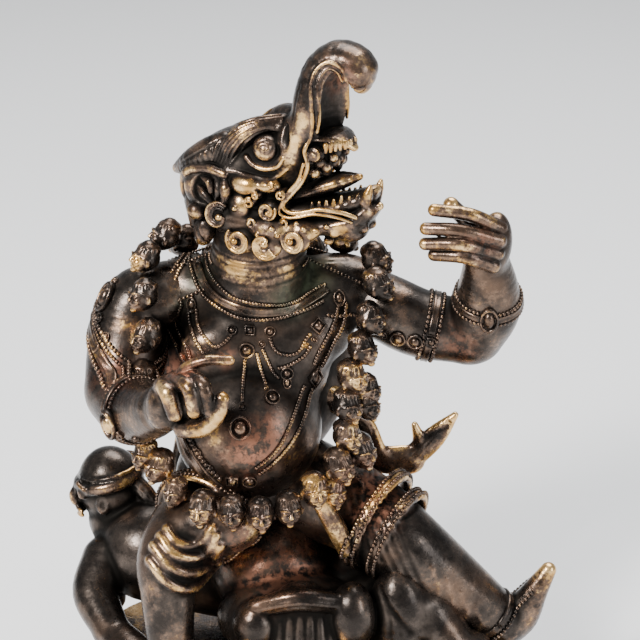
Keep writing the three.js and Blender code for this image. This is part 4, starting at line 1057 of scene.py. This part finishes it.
def seen_from_front(clay, places):
    """A line through x, z places on the side of the clay that faces the front."""
    line = smooth_line([(x, 0, z) for x, z in places], 0.8)
    starts = np.column_stack([line[:, 0], np.full(len(line), -75.0), line[:, 2]])
    hits, met = clay.trace(starts, (0, 1, 0), 140)
    return hits[met]


def dress_legs(shells, clay):
    for centre, axis, radius in (RIGHT_HEM, LEFT_HEM, ((29, -15.5, 56), (20, -11, -8), 12)):
        axis = np.array(axis, float) / np.linalg.norm(axis)
        for shift in (-0.9, 0.9):
            shells.beads(ring_on(clay, np.array(centre) + shift * axis, axis, radius + 7, 1.25), 0.62)
    shells.band(ring_on(clay, (55.4, -15.4, 31.2), (7, 1.2, -6), 14, 1.0), 1.0, 0.7)
    shells.beads(ring_on(clay, (57.2, -15, 29.6), (7, 1.2, -6), 14, 1.2), 0.6)
    shells.beads(ring_on(clay, (-32.2, -33, 31.6), (0, 0, 1), 12, 1.2), 0.6)


# The crawling man.

def make_mount_clay():
    clay = Clay((-66, -44, FLOOR_Z - 2), (58, 28, 72), MOUNT_VOXEL)
    clay.add(limb([(-40, 8, 40, 15), (-18, 4, 38, 16), (6, 0, 37, 16), (26, 0, 36, 14)]), 2)
    clay.add(egg((-5, -9, 42.4), (17, 16, 15.4)), 2)
    clay.add(limb([(30.6, -24, 34, 9.6), (29.4, -25, 42, 7.4), (28.6, -26, 48.4, 2.4)]), 1)
    clay.add(egg((28, -14, 32), (22, 15, 12)), 2)
    clay.add(limb([(36, -22, 36, 9), (44, -26, 28, 6.4), (50, -25, 25.4, 5.2)]), 1.5)
    clay.add(limb([(-46, 12, 40, 9), (-50, 13, 47, 8)]), 2)
    clay.add(egg((-51.2, 14, 57), (9.6, 9.2, 11.6), (0, -8, 0)), 1)
    clay.add(limb([(-52, 4, 38, 7.6), (-55, -4, 32, 6.4), (-50, -14, 26, 5.2)]), 1)
    clay.add(limb([(-50, -14, 25.4, 4.6, 5), (-44, -22, 24.6, 4.2, 5.6), (-38, -28, 23.6, 2.8, 5)], thin=(0, 0, 1)), 1)
    for k in range(4):
        x, y = -45.4 + 3.4 * k, -27.4 - 0.8 * k
        clay.add(limb([(x, y + 4, 25, 1.8), (x - 1.4, y - 1, 24.4, 1.6), (x - 2.0, y - 4, 22.6, 1.3)], step=1), 0.4)
    clay.add(limb([(-48, 18, 36, 7), (-54, 18, 27, 5.6), (-52, 8, 24.6, 4.4)]), 1)
    # The man's face, calm and plain: brow, nose, eyes, lips, ear and the rim of a cap.
    clay.add(limb([(-60.2, 12.0, 58.6, 1.0), (-61.8, 11.4, 55.4, 1.4), (-61.2, 11.4, 53.6, 1.6)], step=1), 0.8)
    for y in (8.0, 15.2):
        clay.add(ball((-58.6, y, 57.2), 1.9), 0.3)
        clay.line(smooth_line([(-59.6, y - 2, 57.0), (-60.6, y, 56.6), (-59.6, y + 2, 57)], 0.6), 0.4, -0.4)
        clay.add(limb([(-58.2, y - 3, 59.4, 0.6), (-60.2, y, 60.2, 0.7), (-58.8, y + 3, 59.6, 0.5)], step=1), 0.5)
    clay.add(limb([(-59.4, 8.6, 51.2, 0.6), (-60.6, 11.2, 51.6, 0.9), (-59.4, 14, 51.2, 0.6)], step=1), 0.3)
    clay.add(limb([(-59.2, 9, 49.8, 0.6), (-60.2, 11.2, 49.6, 0.9), (-59.2, 13.6, 49.8, 0.6)], step=1), 0.3)
    clay.add(egg((-53, 5.4, 54.6), (2, 1.2, 3)), 0.4)
    clay.cut(egg((-53, 4.2, 55.0), (1.0, 0.8, 1.8)), 0.3)
    clay.add(hoop((-51.6, 13.8, 60.2), (-0.25, 0, 1), 9.4, 1.3, 1.7), 0.4)
    clay.add(hoop((-51.2, 13.8, 62.8), (-0.25, 0, 1), 8.6, 0.8), 0.4)
    # Hair hangs from under the cap in combed locks.
    for k in range(6):
        drop = 3.0 * k
        lock = [(-46, 12 + k - 2, 62 - drop, 2.2), (-40, 8 + k, 56 - drop, 2.3), (-37, 7 + k, 47 - drop, 1.6)]
        clay.add(limb(lock), 0.3)
        line = smooth_line(lock, 1.0)[:, :3]
        for shift in (-0.9, 0.9):
            clay.line(line + np.array([0, -2.0, shift]), 0.4, -0.5)
    # Cloth rolled at the waist, pleats under it, and the bent knees.
    roll = [(-9, -32, 42, 2.6), (2, -34, 45.4, 3.2), (13, -32, 43.4, 2.8)]
    clay.add(limb(roll), 0.8)
    clay.add(limb([(3, -31, 40, 4, 8.6), (3.6, -33, 32, 4.4, 9.6), (4, -34, 25, 4, 10.4)], thin=(0, 1, 0)), 1)
    for k in range(7):
        x = -4.4 + 2.8 * k
        clay.line(seen_from_front(clay, [(x, 40), (x * 1.06 - 0.2, 32), (x * 1.12 - 0.4, 24)]), 0.55, -0.7)
    for shift in (-1.2, 1.2):
        clay.line(seen_from_front(clay, [(-8, 42.4 + shift), (2, 45.6 + shift), (12, 43.6 + shift)]), 0.5, -0.4)
    clay.add(egg((-9.4, -31, 36), (6, 6, 7)), 0.6)
    clay.add(egg((16.6, -30, 38), (6.4, 7, 10)), 0.6)
    clay.add(egg((0, -22, 34), (20, 13, 13)), 1)
    for k in range(4):
        clay.line(seen_from_front(clay, [(24 + 1.4 * k, 46 - 2 * k), (27 + 2.4 * k, 38 - 1.6 * k), (26 + 4 * k, 29)]), 0.6, -0.45)
    clay.cut_below(FLOOR_Z)
    return clay


# The lotus plinth, in its own frame.

def oval_radius(angle, inset):
    a, b, power = 60.0 - inset, 40.0 - inset, 2.5
    return (np.abs(np.cos(angle) / a) ** power + np.abs(np.sin(angle) / b) ** power) ** (-1 / power)


def make_plinth_clay():
    clay = Clay((-62, -42, -1.5), (62, 42, PLINTH_HEIGHT + 1.5), PLINTH_VOXEL)

    def slab(inset, low, high):
        def distance(x, y, z):
            radius = np.sqrt(x ** 2 + y ** 2)
            side = 0.9 * (radius - oval_radius(np.arctan2(y, x), inset))
            return np.maximum(side, np.abs(z - (low + high) / 2) - (high - low) / 2)
        return np.array([-60.0, -40, low]), np.array([60.0, 40, high]), distance

    clay.add(slab(0, 0, 3.2), 0)
    clay.add(slab(7.5, 2, 18), 0.4)
    clay.add(slab(2, 16.6, PLINTH_HEIGHT), 0.4)
    petals = 24
    for row, (inset, middle, size, turn) in enumerate(((7.4, 9.4, 1.0, 0.5), (6.2, 9.0, 1.0, 0.0))):
        for k in range(petals):
            angle = 2 * math.pi * (k + turn) / petals
            radius = oval_radius(angle, inset)
            c, s = math.cos(angle), math.sin(angle)
            place = np.array([radius * c, radius * s, 0])
            lean = 22
            clay.add(egg(place + (0, 0, middle), (4.4, 6.8, 7.2), (0, lean, math.degrees(angle))), 0.15)
            if row:
                rim = []
                for t in np.linspace(-1, 1, 15):
                    out = 4.4 * math.cos(t * 1.2)
                    rim.append((radius + out * 0.55 + 1.6, 5.6 * math.sin(1.5 * t), middle - 5.6 * math.cos(1.5 * t)))
                rim = [(u * c - v * s, u * s + v * c, w) for u, v, w in rim]
                clay.line(np.array(rim), 0.6, 0.5)
    for z, r in ((1.6, 59.4), (18.2, 57.6)):
        pass
    clay.cut_below(0.0)
    return clay


# Finishes. Relief is high on raised work and low in hollows; where relief and hollow are low, shade is painted on as
# near black.

def finish_of(name, gold, dark, copper_and_highlight=0.0):
    material = bpy.data.materials.new(name)
    material.use_nodes = True
    nodes, links = material.node_tree.nodes, material.node_tree.links
    shader = nodes["Principled BSDF"]
    place = nodes.new("ShaderNodeTexCoord").outputs["Object"]

    def noise(scale, detail=6.0, rough=0.6):
        node = nodes.new("ShaderNodeTexNoise")
        node.inputs["Scale"].default_value = scale
        node.inputs["Detail"].default_value = detail
        node.inputs["Roughness"].default_value = rough
        links.new(place, node.inputs["Vector"])
        return node.outputs["Fac"]

    def attribute(label):
        node = nodes.new("ShaderNodeAttribute")
        node.attribute_name = label
        return node.outputs["Fac"]

    def maths(kind, a, b=None, clamp=False):
        node = nodes.new("ShaderNodeMath")
        node.operation = kind
        node.use_clamp = clamp
        for socket, value in zip(node.inputs, (a, b)):
            if value is None:
                continue
            if isinstance(value, (int, float)):
                socket.default_value = value
            else:
                links.new(value, socket)
        return node.outputs[0]

    def steps(value, low, high):
        node = nodes.new("ShaderNodeMapRange")
        node.interpolation_type = "SMOOTHSTEP"
        node.inputs["From Min"].default_value = low
        node.inputs["From Max"].default_value = high
        links.new(value, node.inputs["Value"])
        return node.outputs["Result"]

    def mix(share, a, b):
        node = nodes.new("ShaderNodeMix")
        node.data_type = "RGBA"
        links.new(share, node.inputs["Factor"])
        for socket, value in ((node.inputs["A"], a), (node.inputs["B"], b)):
            if isinstance(value, tuple):
                socket.default_value = (*value, 1)
            else:
                links.new(value, socket)
        return node.outputs["Result"]

    relief = attribute("relief")
    hollow = attribute("hollow")
    patch = noise(110, 6, 0.66)
    fine = noise(1100, 4, 0.65)
    wide = noise(42, 4, 0.55)
    skin = mix(steps(patch, 0.38, 0.66), (0.028 * dark, 0.023 * dark, 0.020 * dark), (0.095 * dark, 0.075 * dark, 0.062 * dark))
    skin = mix(maths("MULTIPLY", steps(wide, 0.5, 0.72), 0.8), skin, (0.17 * dark, 0.105 * dark, 0.070 * dark))
    # Wear on raised and open work, plus the gilt patches, which are partly real gilt and partly painted highlights;
    # this share shows bare and gilt colour.
    wear_and_highlight = maths("ADD", maths("MULTIPLY", relief, 0.42), maths("MULTIPLY", hollow, 0.3))
    wear_and_highlight = maths("ADD", wear_and_highlight, maths("MULTIPLY", maths("SUBTRACT", patch, 0.5), 1.6))
    wear_and_highlight = maths("ADD", wear_and_highlight, maths("MULTIPLY", maths("SUBTRACT", fine, 0.5), 0.7))
    wear_and_highlight = maths("ADD", wear_and_highlight, attribute("gilding_and_highlight"))
    worn_and_highlit = steps(wear_and_highlight, 0.16 - gold, 0.5 - gold)
    share = steps(wear_and_highlight, 0.46 - gold, 0.66 - gold)
    bare = mix(steps(noise(300, 3), 0.4, 0.65), (0.13, 0.078, 0.05), (0.27, 0.17, 0.115))
    gilt = mix(steps(noise(240, 3), 0.4, 0.65), (0.50, 0.28, 0.085), (0.80, 0.53, 0.24))
    colour = mix(maths("MULTIPLY", worn_and_highlit, 0.7), skin, bare)
    colour = mix(share, colour, gilt)
    # Painted shade: where relief and hollow are low, in recesses, creases and at the feet of beads, the colour is taken
    # near black, as shadow; the same share makes those places rougher.
    shade_score = maths("ADD", maths("MULTIPLY", relief, 1.0), maths("MULTIPLY", hollow, 0.7))
    shade_score = maths("ADD", shade_score, maths("MULTIPLY", maths("SUBTRACT", fine, 0.5), 0.4))
    unshaded_share = steps(shade_score, -0.55, 0.3)
    colour = mix(unshaded_share, (0.006, 0.005, 0.004), colour)
    # The coppery tint is partly real coppery metal and partly painted pinkish highlight.
    tint = maths("MULTIPLY", attribute("copper_and_highlight"), steps(noise(380, 5, 0.7), 0.42, 0.58), True)
    colour = mix(tint, colour, (0.40, 0.17, 0.10))
    tint = maths("MULTIPLY", attribute("green"), steps(noise(200, 5, 0.7), 0.3, 0.6), True)
    colour = mix(maths("MULTIPLY", tint, 0.6), colour, (0.13, 0.15, 0.09))
    links.new(colour, shader.inputs["Base Color"])
    shader.inputs["Metallic"].default_value = 0.9
    rough = maths("ADD", 0.12, maths("MULTIPLY", noise(500, 4), 0.3))
    rough = maths("ADD", rough, maths("MULTIPLY", maths("SUBTRACT", 1.0, unshaded_share), 0.35), True)
    links.new(rough, shader.inputs["Roughness"])
    bump = nodes.new("ShaderNodeBump")
    bump.inputs["Strength"].default_value = 0.35
    bump.inputs["Distance"].default_value = 0.0003
    grain = maths("ADD", maths("MULTIPLY", fine, 0.5), maths("MULTIPLY", noise(320, 4), 0.8))
    links.new(grain, bump.inputs["Height"])
    links.new(bump.outputs["Normal"], shader.inputs["Normal"])
    return material


# Where the gilt is left, and where highlights are painted on as gilt, as seen in the picture: x, y, radius in pixels,
# and strength.
GILDING_AND_HIGHLIGHTS = [
    (303, 121, 9, 0.5), (297, 147, 10, 0.55), (286, 170, 12, 0.55), (281, 182, 8, 0.5), (262, 163, 10, 0.4),
    (181, 186, 9, 0.35), (240, 185, 12, 0.5), (246, 196, 10, 0.45), (262, 190, 8, 0.4), (243, 208, 9, 0.45),
    (250, 218, 9, 0.3), (340, 231, 10, 0.5), (315, 233, 10, 0.45), (262, 235, 12, 0.35), (286, 232, 12, 0.4),
    (235, 268, 14, 0.55), (262, 280, 22, 0.45), (290, 270, 14, 0.35), (218, 258, 8, 0.3), (333, 205, 12, 0.3),
    (125, 325, 12, 0.5), (100, 348, 14, 0.3), (110, 425, 10, 0.5), (137, 262, 8, 0.5), (147, 455, 12, 0.3),
    (212, 441, 13, 0.5), (226, 452, 11, 0.35), (298, 468, 22, 0.3), (308, 445, 14, 0.25), (216, 422, 12, 0.5),
    (160, 392, 10, 0.3), (160, 467, 14, 0.35), (175, 540, 18, 0.3), (366, 500, 24, 0.3), (258, 560, 30, 0.35),
    (486, 290, 12, 0.3), (470, 345, 16, 0.15), (402, 296, 9, 0.3), (313, 492, 14, 0.35), (430, 450, 16, 0.3),
    (347, 437, 14, 0.2), (352, 378, 14, 0.2), (360, 350, 12, 0.2), (330, 545, 14, 0.3), (150, 590, 14, 0.2),
]
# Where the coppery red shows through, and where pinkish highlights are painted on as that red, in the same way.
COPPER_AND_HIGHLIGHTS = [
    (250, 452, 20, 0.8), (268, 430, 16, 0.6), (186, 362, 12, 1.0), (172, 368, 10, 0.8), (255, 560, 30, 0.5),
    (370, 495, 26, 0.6), (110, 375, 22, 0.35), (480, 240, 16, 0.3), (226, 357, 8, 0.8), (460, 350, 20, 0.3),
    (340, 75, 14, 0.4), (300, 560, 24, 0.4),
]
GREENISH = [(303, 292, 16, 0.7), (318, 272, 14, 0.9), (284, 300, 14, 0.5), (200, 270, 14, 0.4), (180, 300, 12, 0.3)]


def patches(points, places):
    """How strongly some round patches of the picture fall on points."""
    eye, directions = lines_of_sight([place[:2] for place in places])
    total = np.zeros(len(points))
    for direction, (_, _, radius, strength) in zip(directions, places):
        direction = direction / np.linalg.norm(direction)
        offset = points - eye
        depth = offset @ direction
        away = np.linalg.norm(offset - depth[:, None] * direction, axis=1)
        total += strength * np.exp(-(away / (radius * MM_PER_PIXEL)) ** 2)
    return total


def paint_patches(piece, points):
    # Gilt patches: partly real gilt, partly painted highlights.
    paint(piece, "gilding_and_highlight", patches(points, GILDING_AND_HIGHLIGHTS) * (points[:, 1] < 6))
    # Coppery patches: partly real coppery metal, partly painted pinkish highlights.
    paint(piece, "copper_and_highlight", patches(points, COPPER_AND_HIGHLIGHTS) * (points[:, 1] < 6))
    paint(piece, "green", patches(points, GREENISH) * (points[:, 1] < 6))


def finish_clay(name, clay, most, place, node, material):
    """Turns clay into a piece of the part, with its relief painted on."""
    points, triangles, quads = clay.skin()
    piece = thin_out(mesh_object(name, points, triangles, quads), most)
    local = vertices_of(piece).astype(float)
    # Relief and hollow drive the wear and the painted shade of the finish.
    paint(piece, "relief", np.clip(relief_of(clay, local, 0.9) * 2.2, -1.5, 1.5))
    paint(piece, "hollow", np.clip(relief_of(clay, local, 4.0) * 1.4 - 0.1, -1.5, 1.0))
    moved = place(local)
    paint_patches(piece, moved)
    piece.data.vertices.foreach_set("co", figure_to_world(moved).astype(np.float32).ravel())
    piece.data.update()
    place_piece(piece, node, material)
    return piece


def place_piece(piece, node, material):
    piece.data.materials.clear()
    piece.data.materials.append(material)
    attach(piece, "root")
    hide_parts(node)


# The camera, the room and all the pieces.

def make_camera():
    place, forward, right, up = camera_frame()
    camera = bpy.data.cameras.new("camera")
    camera.sensor_width = 36
    camera.lens = 36 * CAMERA_DISTANCE / (IMAGE_SIDE * MM_PER_PIXEL)
    camera.clip_start = 0.01
    holder = bpy.data.objects.new("camera", camera)
    bpy.context.scene.collection.objects.link(holder)
    matrix = np.eye(4)
    matrix[:3, 0] = right
    matrix[:3, 1] = up
    matrix[:3, 2] = -forward
    matrix[:3, 3] = figure_to_world(place)
    holder.matrix_world = Matrix(matrix.tolist())
    bpy.context.scene.camera = holder


def area_light(name, place, target, size, power, colour=(1, 1, 1)):
    light = bpy.data.lights.new(name, "AREA")
    light.shape = "RECTANGLE"
    light.size, light.size_y = size
    light.energy = power
    light.color = colour
    holder = bpy.data.objects.new(name, light)
    bpy.context.scene.collection.objects.link(holder)
    place = np.array(place, float)
    back = place - np.array(target, float)
    back /= np.linalg.norm(back)
    right = np.cross((0, 0, 1), back)
    right /= np.linalg.norm(right)
    matrix = np.eye(4)
    matrix[:3, 0] = right
    matrix[:3, 1] = np.cross(back, right)
    matrix[:3, 2] = back
    matrix[:3, 3] = place
    holder.matrix_world = Matrix(matrix.tolist())


def make_stage():
    """A pale floor that curves up behind, soft lights and a pale room."""
    count = 24
    rows = [(y, 0.0) for y in (-2.0, -0.5, 0.0, 0.5, 1.2)]
    for k in range(1, count + 1):
        angle = math.pi / 2 * k / count
        rows.append((1.2 + 0.8 * math.sin(angle), 0.8 - 0.8 * math.cos(angle)))
    rows.append((2.0, 3.0))
    points = [(x, y, z) for y, z in rows for x in (-3.0, 3.0)]
    quads = [(2 * k, 2 * k + 1, 2 * k + 3, 2 * k + 2) for k in range(len(rows) - 1)]
    floor = mesh_object("floor", np.array(points), [], np.array(quads))
    paper = bpy.data.materials.new("paper")
    paper.use_nodes = True
    shader = paper.node_tree.nodes["Principled BSDF"]
    shader.inputs["Base Color"].default_value = (0.92, 0.925, 0.93, 1)
    shader.inputs["Roughness"].default_value = 0.9
    floor.data.materials.append(paper)
    area_light("key", (-0.5, -0.55, 0.62), (0, 0, 0.11), (0.2, 0.2), 14, (1, 0.97, 0.94))
    area_light("fill", (0.75, -0.5, 0.35), (0, 0, 0.1), (0.25, 0.5), 3.0, (0.93, 0.96, 1))
    area_light("top", (0.15, 0.35, 1.1), (0, 0, 0.1), (0.8, 0.6), 16)
    world = bpy.data.worlds.new("room")
    world.use_nodes = True
    background = world.node_tree.nodes["Background"]
    background.inputs["Color"].default_value = (0.85, 0.88, 0.92, 1)
    background.inputs["Strength"].default_value = 0.45
    bpy.context.scene.world = world


make_camera()
make_stage()
UNIT_BALL = sphere_shell()
bronze = finish_of("bronze", 0.03, 1.0)
dark_bronze = finish_of("dark bronze", -0.2, 1.0)
plinth_bronze = finish_of("plinth bronze", 0.0, 1.0)

as_it_is = lambda points: points

head_clay = make_head_clay()
finish_clay("deity_head", head_clay, 180000, head_to_figure, "deity_figure", bronze)

torso_clay = make_torso_clay()
legs_clay = make_legs_clay()
right_arm_clay = make_right_arm_clay()
left_arm_clay = make_left_arm_clay()
jewels = Shells()
dress_torso(jewels, torso_clay)
dress_arms(jewels, right_arm_clay, left_arm_clay)
dress_legs(jewels, legs_clay)
finish_clay("deity_torso", torso_clay, 105000, as_it_is, "deity_figure", bronze)
finish_clay("deity_right_arm", right_arm_clay, 70000, as_it_is, "deity_figure", bronze)
finish_clay("deity_left_arm", left_arm_clay, 70000, as_it_is, "deity_figure", bronze)
finish_clay("deity_legs", legs_clay, 120000, as_it_is, "deity_figure", bronze)
place_piece(jewels.piece("deity_jewellery"), "deity_figure", bronze)
place_piece(place_small_heads().piece("deity_garland"), "deity_figure", bronze)

finish_clay("crawling_man", make_mount_clay(), 90000, as_it_is, "mount_figure", dark_bronze)
from_plinth = lambda points: points - FIGURE_SHIFT
finish_clay("lotus_plinth_relief", make_plinth_clay(), 60000, from_plinth, "lotus_plinth", plinth_bronze)
